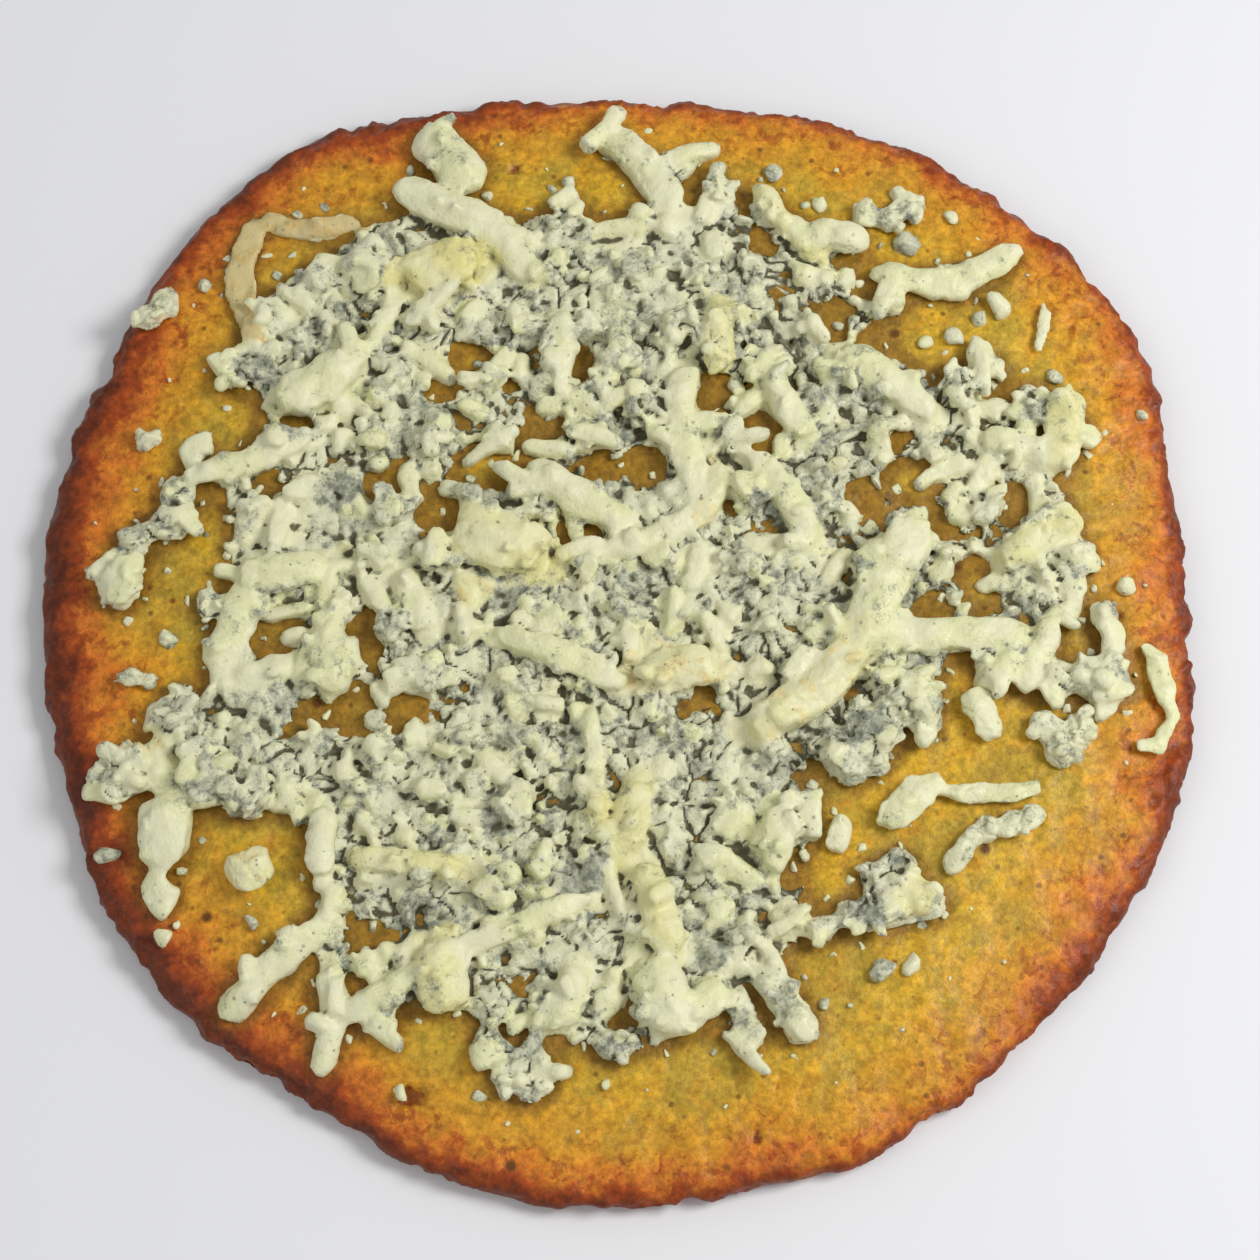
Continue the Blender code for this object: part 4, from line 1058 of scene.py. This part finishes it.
@dataclass
class Pancake:
    """The fried potato pancake: its solid's form with bumps, a craggy rim and burnt marks."""

    node: str = "potato_pancake"
    voxel: float = 0.52
    most_triangles: int = 190_000
    smooth_rounds: int = 10
    top_blur: float = 3.6
    shoulder: tuple[float, float] = (5.0, 9.0)  # inward: between these the top becomes the blurred one
    smooth_back: float = 0.52
    top_facing: float = 0.35  # the least upward part of a normal that belongs to the top
    top_height: float = 4.5  # the least height of the top
    flat_height: float = 0.25  # the underside is below this height and at least so far inward
    flat_inward: float = 6.0
    covered: float = 0.97  # the least share of cheese where the crust is hidden and may go coarse
    covered_coarse: float = 0.7

    # The relief: (length, height, seed), over everything and at the rim alone.
    bumps: tuple[tuple[float, float, int], ...] = ((6.5, 0.32, 1), (2.9, 0.20, 2), (1.5, 0.09, 3))
    crags: tuple[tuple[float, float, int], ...] = ((4.4, 0.65, 4), (2.3, 0.42, 5), (1.2, 0.32, 6))
    crag_width: float = 4.5
    fray: float = 1.1

    # How burnt the rim is, every 30 degrees anticlockwise from +X, from 0 to 1.
    browning: tuple[float, ...] = (0.45, 0.26, 0.32, 0.05, 0.75, 0.90, 1.15, 1.05, 0.75, 0.32, 0.20, 0.62)

    # Burnt pits, and raised bits of crust at the rim: x, y, half-length, half-width, turn and depth.
    marks: tuple[tuple[float, ...], ...] = (
        (-33.0, -79.0, 2.4, 1.7, 20, 0.9), (77.0, 67.0, 5.0, 1.1, -42, -0.5),
        (-17.6, 82.6, 1.4, 0.9, 40, 0.7), (22.5, -85.5, 1.3, 1.0, 10, 0.7),
        (-66.0, -3.4, 2.0, 0.9, 60, 0.4), (-76.5, -17.0, 1.5, 0.5, 90, 0.3),
        (25.5, -78.5, 0.7, 0.6, 0, 0.4), (82.0, 1.5, 1.6, 0.8, 10, 0.4),
        (88.0, -30.0, 1.4, 0.9, 80, 0.5), (-17.0, 95.5, 5.0, 1.2, 4, -0.4),
        (-2.0, 96.0, 3.0, 1.0, 0, -0.4), (30.0, 94.0, 3.5, 0.9, -8, -0.4),
        (91.5, -26.0, 4.5, 1.4, 80, -0.5), (86.0, -42.0, 4.0, 1.2, 62, -0.4),
        (12.0, -92.0, 4.0, 1.2, 4, -0.4),
    )

    def build(self, finish: bpy.types.Material, cheese_cover: HeightMap) -> bpy.types.Object:
        """Makes the piece.

        Args:
            finish: The crust's material.
            cheese_cover: Where the melted mass lies, as a map from 0 to 1.

        Returns:
            The piece, which stands for the pancake's solid.
        """
        solid = solid_of(self.node)
        outline = Outline.of(solid)
        top = HeightMap.over(solid).blurred(self.top_blur * MM)
        shell = remeshed(solid, self.voxel * MM * (1.0))
        shell.points = smoothed(shell.points, shell.edges(), self.smooth_rounds, back=self.smooth_back)
        normals = shell.normals()
        inward = outline.inward(shell.points)
        upper = (normals[:, 2] > self.top_facing) & (shell.points[:, 2] > self.top_height * MM)
        inner = ease(inward, self.shoulder[0] * MM, self.shoulder[1] * MM) * upper
        shell.points[:, 2] += inner * (top.at(shell.points) - shell.points[:, 2])

        self.roughen(shell, outline)
        flat = (shell.points[:, 2] < self.flat_height * MM) & (inward > self.flat_inward * MM)
        covered = self.covered_coarse * (cheese_cover.at(shell.points) > self.covered)
        shell = Shell(shell.points, shell.triangles())
        shell.points[:, 2] = shell.points[:, 2].clip(0.0)

        mesh = shell.mesh("fried_pancake")
        self.paint(mesh, shell, outline, cheese_cover)
        mesh = thinned(mesh, np.where(flat, 1.0, covered), self.most_triangles)
        return finished("fried_pancake", mesh, finish, "fried_potato", self.node)

    def ragged(self, points: np.ndarray) -> np.ndarray:
        """The points moved sideways by noise, which frays the borders of the burnt marks."""
        return points + self.fray * MM * noise_vector(points, 1.8 * MM, (71, 72, 73))

    def roughen(self, shell: Shell, outline: Outline) -> None:
        """Raises the fried surface's bumps and crags and sinks its burnt pits."""
        normals = shell.normals()
        raised = self.relief(shell.points, outline.inward(shell.points))
        raised *= ease(shell.points[:, 2], 0.0, 1.2 * MM)
        ragged = self.ragged(shell.points)
        for x, y, along, across, turn, depth in self.marks:
            raised -= depth * Patch(x, y, along, across, turn).cover(ragged) * (normals[:, 2] > 0)
        shell.points += normals * (raised * MM)[:, None]

    def relief(self, points: np.ndarray, inward: np.ndarray) -> np.ndarray:
        """How far the crust stands out at each point, in millimetres."""
        raised = np.zeros(len(points))
        for length, height, seed in self.bumps:
            raised += height * lattice_noise(points, length * MM, seed)
        rim = 1.0 - ease(inward, 0.5 * MM, self.crag_width * MM)
        rim *= 0.35 + 1.1 * ease(lattice_noise(points, 9.0 * MM, 8), -0.45, 0.45)
        for length, height, seed in self.crags:
            raised += rim * height * lattice_noise(points, length * MM, seed)
        return raised

    def paint(self, mesh: bpy.types.Mesh, shell: Shell, outline: Outline, cover: HeightMap) -> None:
        """Gives the mesh the values that its material reads."""
        points = shell.points
        angle = np.degrees(np.arctan2(points[:, 1], points[:, 0])) % 360.0
        burnt = np.interp(angle, np.arange(len(self.browning) + 1) * 30.0,
                          (*self.browning, self.browning[0]))
        mark, ragged = np.zeros(len(points)), self.ragged(points)
        for x, y, along, across, turn, depth in self.marks:
            strength = min(1.0, abs(depth) + (0.3 if depth > 0 else 0.1))
            mark = np.maximum(mark, strength * Patch(x, y, along, across, turn).cover(ragged))
        raised = self.relief(points, outline.inward(points))
        keep_values(mesh, inward=outline.inward(points) / MM, burnt=burnt, mark=mark, raised=raised,
                    under_cheese=cover.at(points))


def finished(name: str, mesh: bpy.types.Mesh, finish: bpy.types.Material, slot: str,
             *nodes: str) -> bpy.types.Object:
    """Dresses a mesh and gives it its place in the frame.

    Args:
        name: The piece's name.
        mesh: Its mesh, in metres in the frame.
        finish: Its material.
        slot: The record's material slot, which is not used.
        nodes: The solids that it stands for.

    Returns:
        The piece.
    """
    mesh.shade_smooth()
    mesh.materials.append(finish)
    piece = link(name, mesh)
    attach(piece, BODY)
    if nodes:
        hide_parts(*nodes)
    LOG.info("%s: %d triangles", name, sum(len(face.vertices) - 2 for face in mesh.polygons))
    return piece


# --------------------------------------------------------------------------- the cheese


@dataclass
class CheesePiece:
    """One body of melted cheese, rebuilt over its solid's form."""

    node: str
    name: str
    shreds: tuple[Shred, ...] = ()
    patches: tuple[Patch, ...] = ()
    holes: tuple[tuple[float, float, float], ...] = ()
    crumbs: tuple[Crumbs, ...] = ()
    voxel: float = 0.42
    core_voxel: float = 0.6
    core_rounds: int = 8
    core_back: float = 0.0
    most_triangles: int = 195_000
    tone: Tone = Tone.GREY
    rest_gap: float = 0.38
    crevices: tuple[tuple[float, float, float, int], ...] = ((5.4, 0.17, 0.58, 81), (3.2, 0.20, 0.26, 82))
    crumb_contrast: float = 0.8
    seat: float = 0.15  # how far inside the solid's surface the crumbs' middles are
    sink: float = 0.50  # how far inside it the mass between the crumbs is
    settle: float = 0.55  # how far the underside sinks to meet the pancake's bumps
    quick_voxels: float = 1.7
    free_above: float = 0.6  # crumbs lie at least so high over the pancake
    crumbless: float = 0.88  # the share of crumbs that a smooth shred is without
    low: float = 0.35  # below this height over the pancake the underside is hidden
    rough_relief: tuple[tuple[float, float, int], ...] = ((1.8, 0.34, 21), (0.9, 0.18, 22))
    smoothness: float = 0.75  # how much less of that relief a clean crumb or shred has
    hole_depth: float = 1.3

    # How hollow a place is, which sets the painted shade in crevices and some of the mould: rounds of
    # smoothing, and the depth in millimetres that then counts fully.
    hollows: tuple[tuple[int, float], ...] = ((4, 0.20), (14, 0.42))

    def build(self, finish: bpy.types.Material, ground: HeightMap) -> bpy.types.Object:
        """Makes the piece.

        Args:
            finish: The cheese's material.
            ground: The height of the pancake's top.

        Returns:
            The piece, which stands for the node's solid.
        """
        coarse = 1.0
        core = remeshed(solid_of(self.node), self.core_voxel * MM)
        core.points = smoothed(core.points, core.edges(), self.core_rounds, back=self.core_back)
        crumbly = self.crumbly(core, ground)
        inward = core.normals() * (crumbly * MM)[:, None]
        seat = Shell(core.points - self.seat * inward, core.faces)
        strewn = [crumbs.over(seat, crumbly, finish) for crumbs in self.crumbs]
        base = Shell(core.points - self.sink * inward, core.triangles())
        shell = Shell.joined([base] + [shred.shell(ground, self.rest_gap) for shred in self.shreds]
                             + [one.shell for one in strewn])
        shell.points = shell.points + self.wander(shell.points)
        shell = remeshed(shell, self.voxel * coarse * MM).without_scraps()
        shell.points = smoothed(shell.points, shell.edges(), 2, back=0.40)
        crumbs = Strewn.joined(strewn) if strewn else None
        clean = crumbs.cleanness(shell.points) if crumbs else np.zeros(len(shell.points))
        self.detail(shell, ground, clean)
        low = shell.points[:, 2] - ground.at(shell.points) < self.low * MM
        hidden = low & (shell.normals()[:, 2] < -0.5)
        shell = Shell(shell.points, shell.triangles())
        mesh = shell.mesh(self.name)
        self.paint(mesh, shell, ground, clean)
        mesh = thinned(mesh, hidden.astype(float), self.most_triangles)
        return finished(self.name, mesh, finish, "blue_cheese", self.node)

    def wander(self, points: np.ndarray) -> np.ndarray:
        """Small sideways shifts that make every crumb and shred uneven, in metres."""
        return (0.55 * MM * noise_vector(points, 3.2 * MM, (11, 12, 13))
                + 0.30 * MM * noise_vector(points, 1.5 * MM, (14, 15, 16)))

    def crumbly(self, core: Shell, ground: HeightMap) -> np.ndarray:
        """Where crumbs may lie on the core, from 0 to 1."""
        free = ease(core.normals()[:, 2], -0.3, 0.2)
        free *= core.points[:, 2] - ground.at(core.points) > self.free_above * MM
        smooth = self.weights(core.points, ground)[:, 0]
        return free * (1.0 - self.crumbless * ease(smooth, 0.5, 0.9))

    def weights(self, points: np.ndarray, ground: HeightMap) -> np.ndarray:
        """The tones at each point, as columns cream, yellow, peach and mould."""
        weights = np.zeros((len(points), 4))
        for shred in self.shreds:
            axis = shred.axis(ground, self.rest_gap)
            radius = shred.width / 2 * MM
            low, high = axis.min(axis=0) - 2 * radius, axis.max(axis=0) + 2 * radius
            near = np.flatnonzero(((points > low) & (points < high)).all(axis=1))
            if not len(near):
                continue
            stretches = [segment_distance(points[near], a, b) for a, b in zip(axis, axis[1:])]
            away = np.stack(stretches).min(axis=0)
            share = 1.0 - ease(away, radius * 0.92, radius * 1.22)
            weights[near] += share[:, None] * (np.array(shred.tone.value) - weights[near])
        ragged = points + 1.4 * MM * noise_vector(points, 3.0 * MM, (61, 62, 63))
        for patch in self.patches:
            cover = patch.cover(ragged)[:, None]
            weights += cover * (np.array(patch.tone.value) - weights)
        return weights

    @staticmethod
    def as_film(weights: np.ndarray) -> np.ndarray:
        """Where the tones are those of the thin film, from 0 to 1."""
        return ease(weights[:, 2], 1.0, 1.5)

    def split(self, points: np.ndarray) -> tuple[np.ndarray, np.ndarray]:
        """Splits the mass between the shreds into crumbs.

        Args:
            points: Places in metres, one a row.

        Returns:
            How deep the crevice at each point is, in millimetres, and a random number for its crumb.
        """
        bent = points + 1.3 * MM * noise_vector(points, 3.2 * MM, (64, 65, 66))
        depth, numbers = np.zeros(len(points)), []
        for spacing, width, most, seed in self.crevices:
            gap, number = cells(bent, spacing * MM, seed)
            here = ease(lattice_noise(points, 1.3 * spacing * MM, seed), -0.30, 0.25)
            depth = np.maximum(depth, most * here * (1.0 - ease(gap, 0.0, width)))
            numbers.append(number)
        return depth, sum(numbers) / len(numbers)

    def detail(self, shell: Shell, ground: HeightMap, clean: np.ndarray) -> None:
        """Adds the finest relief, sinks the holes and lets the underside settle."""
        normals = shell.normals()
        weights = self.weights(shell.points, ground)
        rough = 1.0 - self.smoothness * np.maximum(weights[:, 0], clean)
        raised = np.zeros(len(shell.points))
        for length, height, seed in self.rough_relief:
            raised += height * lattice_noise(shell.points, length * MM, seed)
        crevice, _ = self.split(shell.points)
        raised -= crevice * (normals[:, 2] > 0) * (1.0 - self.as_film(weights))
        for x, y, radius in self.holes:
            cover = Patch(x, y, radius, radius, 0).cover(shell.points)
            raised -= self.hole_depth * cover * (normals[:, 2] > 0)
        shell.points += normals * (raised * rough * MM)[:, None]
        above = shell.points[:, 2] - ground.at(shell.points)
        shell.points[:, 2] -= self.settle * MM * (1.0 - ease(above, 0.3 * MM, 1.6 * MM))

    def paint(self, mesh: bpy.types.Mesh, shell: Shell, ground: HeightMap, clean: np.ndarray) -> None:
        """Gives the mesh the values that its material reads.

        Args:
            mesh: The finished mesh.
            shell: The same as arrays.
            ground: The height of the pancake's top.
            clean: How clean the crumb at each point is, from 0 to 1.
        """
        normals, edges = shell.normals(), shell.edges()
        sunk = np.zeros(len(shell.points))
        points = shell.points
        for rounds, scale in self.hollows:
            points = smoothed(points, edges, rounds)
            sunk += 0.5 * ((points - shell.points) * normals).sum(axis=1) / (scale * MM)
        above = shell.points[:, 2] - ground.at(shell.points)
        # Painted contact shade: the mass counts as hollow, and so darker, where it comes down to the
        # pancake.
        sunk += 0.7 * (1.0 - ease(above, -0.2 * MM, 1.1 * MM))
        weights = self.weights(shell.points, ground)
        crevice, number = self.split(shell.points)
        cream = np.maximum(weights[:, 0], clean * (1.0 - ease(weights[:, 3], 0.1, 0.5)))
        # Deep crevices between crumbs get more painted shade, clean cream less.
        sunk += 0.18 * crevice * (1.0 - 0.85 * cream)
        sunk *= 1.0 - 0.85 * self.as_film(weights)
        cream += self.crumb_contrast * (number - 0.5) * (1.0 - ease(cream, 0.6, 0.9))
        keep_values(mesh, hollow=sunk.clip(0.0, 1.3), cream=cream.clip(0.0, 1.0), yellow=weights[:, 1],
                    peach=weights[:, 2], blue=weights[:, 3])


def segment_distance(points: np.ndarray, a: np.ndarray, b: np.ndarray) -> np.ndarray:
    """Each point's distance to the line from a to b."""
    along = b - a
    t = ((points - a) @ along / (along @ along)).clip(0.0, 1.0)
    return np.linalg.norm(points - a - t[:, None] * along, axis=1)


APART_TONES = {
    "cheese_lump_far_right": Tone.VEINED,
    "cheese_sliver_far_right": Tone.CREAM,
    "cheese_hook_right": Tone.CREAM,
    "cheese_lump_right": Tone.VEINED,
    "cheese_chunk_right": Tone.CREAM,
    "cheese_strand_near_right": Tone.CREAM,
    "cheese_cluster_near_right": Tone.ASHEN,
    "cheese_oval_near_right": Tone.CREAM,
    "cheese_chunk_near_left": Tone.PEACH,
    "cheese_pair_left": Tone.VEINED,
    "cheese_crumb_left": Tone.VEINED,
    "cheese_crumb_far_left": Tone.VEINED,
    "cheese_blob_far_left": Tone.VEINED,
}


@dataclass
class ApartPiece(CheesePiece):
    """A piece of cheese that lies apart from the melted mass and has one tone all over."""

    voxel: float = 0.30
    core_voxel: float = 0.34
    core_rounds: int = 45
    core_back: float = 0.48
    most_triangles: int = 12_000
    sink: float = 0.30

    def weights(self, points: np.ndarray, ground: HeightMap) -> np.ndarray:
        """The piece's own tone at every point."""
        return np.tile(np.array(self.tone.value), (len(points), 1))


@dataclass
class LooseCrumbs:
    """Cheese crumbs beside the melted mass: those fused to the pancake's solid, and finer grains."""

    name: str = "loose_cheese_crumbs"
    grains: tuple[Crumbs, ...] = (
        Crumbs(4.2, (0.26, 0.26, 0.24), (1.0, 0.9, 0.7), 31, 0.55, 2),
        Crumbs(8.5, (0.22, 0.20, 0.18), (0.5, 0.42, 0.40), 35, 0.8, 2),
    )
    reaches: tuple[tuple[float, float], ...] = ((0.10, 0.70), (0.002, 0.20))  # shares of cheese over each
    unevenness: float = 0.5  # in shares of a crumb's radius
    margin: float = 7.0  # how far inside the pancake's outline the grains stay

    # The fused crumbs: x, y and radius.
    spots: tuple[tuple[float, float, float], ...] = (
        (-70, 60.6, 1.2), (-8, 79.2, 1.1), (27, 81, 1.5), (34.5, 75.2, 1.4), (57, 73.2, 1.1),
        (49.5, 67.6, 2.0), (65, 56.4, 2.0), (61.6, 53.8, 1.3), (57, 50.4, 1.7), (52, 49.6, 1.2),
        (73.6, 43.6, 1.3), (88.4, 37.4, 1.1), (84.2, 6.6, 1.6), (-82.6, -39.4, 1.8), (-73.2, -53.2, 1.7),
        (-34.4, -78.6, 1.3), (42.6, -58.6, 1.9), (47.2, -58, 1.6), (-58.6, -50.8, 1.2),
        (33.4, -64.4, 0.9), (-1.6, -77.4, 0.9),
    )
    seed: int = 6

    def build(self, finish: bpy.types.Material, ground: HeightMap, cover: HeightMap) -> bpy.types.Object:
        """Makes the piece.

        Args:
            finish: The cheese's material.
            ground: The height of the pancake's top.
            cover: Where the melted mass lies, as a map from 0 to 1.

        Returns:
            The piece, which stands for no solid of its own.
        """
        surface = ground.surface()
        inside = Outline.of(solid_of("potato_pancake")).inward(surface.points) > self.margin * MM
        found, away = cover.at(surface.points), cover.blurred(5.0 * MM).at(surface.points)
        strewn = [self.fused(ground)]
        for crumbs, (low, high), near in zip(self.grains, self.reaches, (found, away)):
            wanted = inside & (near > low) & (near < high)
            strewn.append(crumbs.over(surface, wanted.astype(float), finish))
        all_of_them = Strewn.joined(strewn)
        shell = all_of_them.shell
        each = len(shell.points) // len(all_of_them.radii)
        radii = np.repeat(all_of_them.radii, each)[:, None]
        place = (shell.points - np.repeat(all_of_them.middles, each, axis=0)) / radii
        place += np.repeat(np.arange(len(all_of_them.radii)), each)[:, None] * SEED_STEP
        shell.points = shell.points + self.unevenness * radii * noise_vector(place, 1.1, (41, 42, 43))
        mesh = shell.mesh(self.name)
        clean = np.repeat(all_of_them.clean, each)
        nothing = np.zeros(len(clean))
        keep_values(mesh, hollow=0.15 * (1.0 - clean), cream=clean, yellow=nothing, peach=nothing,
                    blue=nothing)
        return finished(self.name, mesh, finish, "blue_cheese")

    def fused(self, ground: HeightMap) -> Strewn:
        """The crumbs at their fixed spots, each a rough ball turned its own way."""
        ball = bmesh.new()
        bmesh.ops.create_icosphere(ball, subdivisions=2, radius=1.0)
        points = np.array([vertex.co for vertex in ball.verts])
        faces = np.array([[vertex.index for vertex in face.verts] for face in ball.faces])
        ball.free()
        rng = np.random.default_rng(self.seed)
        shells = []
        for x, y, radius in self.spots:
            turn = rng.uniform(0.0, math.pi)
            cos, sin = math.cos(turn), math.sin(turn)
            spin = np.array([[cos, sin, 0], [-sin, cos, 0], [0, 0, 1]])
            middle = np.array([[x * MM, y * MM, 0.0]])
            middle[0, 2] = ground.at(middle)[0] + 0.3 * radius * MM
            shells.append(Shell(points * np.array([1.15, 0.95, 0.75]) @ spin * radius * MM + middle, faces))
        middles = np.array([shell.points.mean(axis=0) for shell in shells])
        return Strewn(Shell.joined(shells), middles, np.array([spot[2] * MM for spot in self.spots]),
                      rng.random(len(shells)).round())


# --------------------------------------------------------------------------- the studio


@dataclass
class Studio:
    """The pale floor, the soft light and the camera."""

    floor_side: float = 3.0
    floor_colour: Colour = (0.80, 0.80, 0.81)
    target: tuple[float, float, float] = (2.24, -1.38, 8.0)
    elevation: float = 72.0
    distance: float = 656.3
    view_angle: float = 18.0
    sky: float = 0.45
    lights: tuple[tuple[str, tuple[float, float, float], float, float], ...] = (
        ("key_light", (0.52, 0.04, 0.60), 0.30, 4.2),
        ("fill_light", (-0.55, -0.30, 0.60), 0.60, 0.9),
    )

    def build(self) -> None:
        """Makes everything that isn't the object."""
        self.floor()
        self.camera()
        self.sky_light()
        for name, place, side, power in self.lights:
            self.area_light(name, Vector(place), side, power)

    def floor(self) -> None:
        """A plain pale floor at height zero."""
        half = self.floor_side / 2
        corners = np.array([[-half, -half, 0], [half, -half, 0], [half, half, 0], [-half, half, 0]])
        mesh = Shell(corners, np.array([[0, 1, 2, 3]])).mesh("floor")
        w = Wiring("pale_floor")
        w.set(Base_Color=self.floor_colour, Roughness=0.7, Specular_IOR_Level=0.2)
        mesh.materials.append(w.material)
        link("floor", mesh)

    def camera(self) -> None:
        """The camera, looking down at the near side."""
        data = bpy.data.cameras.new("camera")
        data.sensor_width = 36.0
        data.angle = math.radians(self.view_angle)
        camera = bpy.data.objects.new("camera", data)
        bpy.context.scene.collection.objects.link(camera)
        slope = math.radians(self.elevation)
        back = Vector((0.0, -math.cos(slope), math.sin(slope)))
        camera.location = (Vector(self.target) + back * self.distance) * MM
        camera.rotation_euler = back.to_track_quat("Z", "Y").to_euler()
        bpy.context.scene.camera = camera

    def sky_light(self) -> None:
        """Even light from all round."""
        world = bpy.data.worlds.new("studio")
        world.use_nodes = True
        world.node_tree.nodes["Background"].inputs["Color"].default_value = (0.97, 0.985, 1.0, 1.0)
        world.node_tree.nodes["Background"].inputs["Strength"].default_value = self.sky
        bpy.context.scene.world = world
        bpy.context.scene.view_settings.view_transform = "Standard"

    def area_light(self, name: str, place: Vector, side: float, power: float) -> None:
        """A square soft light that faces the object, with its place and side in metres."""
        data = bpy.data.lights.new(name, "AREA")
        data.shape, data.size, data.energy = "SQUARE", side, power
        lamp = bpy.data.objects.new(name, data)
        lamp.location = place
        lamp.rotation_euler = place.to_track_quat("Z", "Y").to_euler()
        bpy.context.scene.collection.objects.link(lamp)


GROUND_BLUR, COVER_BLUR = 1.2 * MM, 2.2 * MM


def cheese_cover(shell: Shell) -> HeightMap:
    """Where the melted mass lies, from 0 to 1, softened over its edge."""
    found = HeightMap.over(shell)
    found.heights = np.where(np.isnan(found.heights), 0.0, 1.0)
    return found.blurred(COVER_BLUR)


def main() -> None:
    """Builds the object and its studio."""
    logging.basicConfig(level=logging.INFO, format="%(message)s")
    Studio().build()
    crust, cheese = FriedCrust().material(), BlueCheese().material()
    ground = HeightMap.over(solid_of("potato_pancake")).blurred(GROUND_BLUR)

    cover = cheese_cover(solid_of("melted_cheese"))
    Pancake().build(crust, cover)
    CheesePiece("melted_cheese", "melted_blue_cheese", SHREDS, PATCHES, HOLES, (
        Crumbs(6.4, (2.2, 1.2, 1.0), (6.2, 1.9, 1.5), 17, 0.88, tilt=0.22),
        Crumbs(3.6, (1.2, 1.0, 0.8), (3.0, 1.9, 1.5), 5, 0.60),
        Crumbs(2.2, (0.6, 0.5, 0.5), (1.5, 1.0, 1.0), 9, 0.40),
    )).build(cheese, ground)
    rough = (Crumbs(2.5, (0.7, 0.7, 0.5), (1.5, 1.3, 1.0), 3, 0.45),)
    for node, tone in APART_TONES.items():
        crumbs = () if tone in (Tone.CREAM, Tone.PEACH) else rough
        ApartPiece(node, "melted_" + node, tone=tone, crumbs=crumbs).build(cheese, ground)
    LooseCrumbs().build(cheese, ground, cover)


if __name__ == "__main__":
    main()
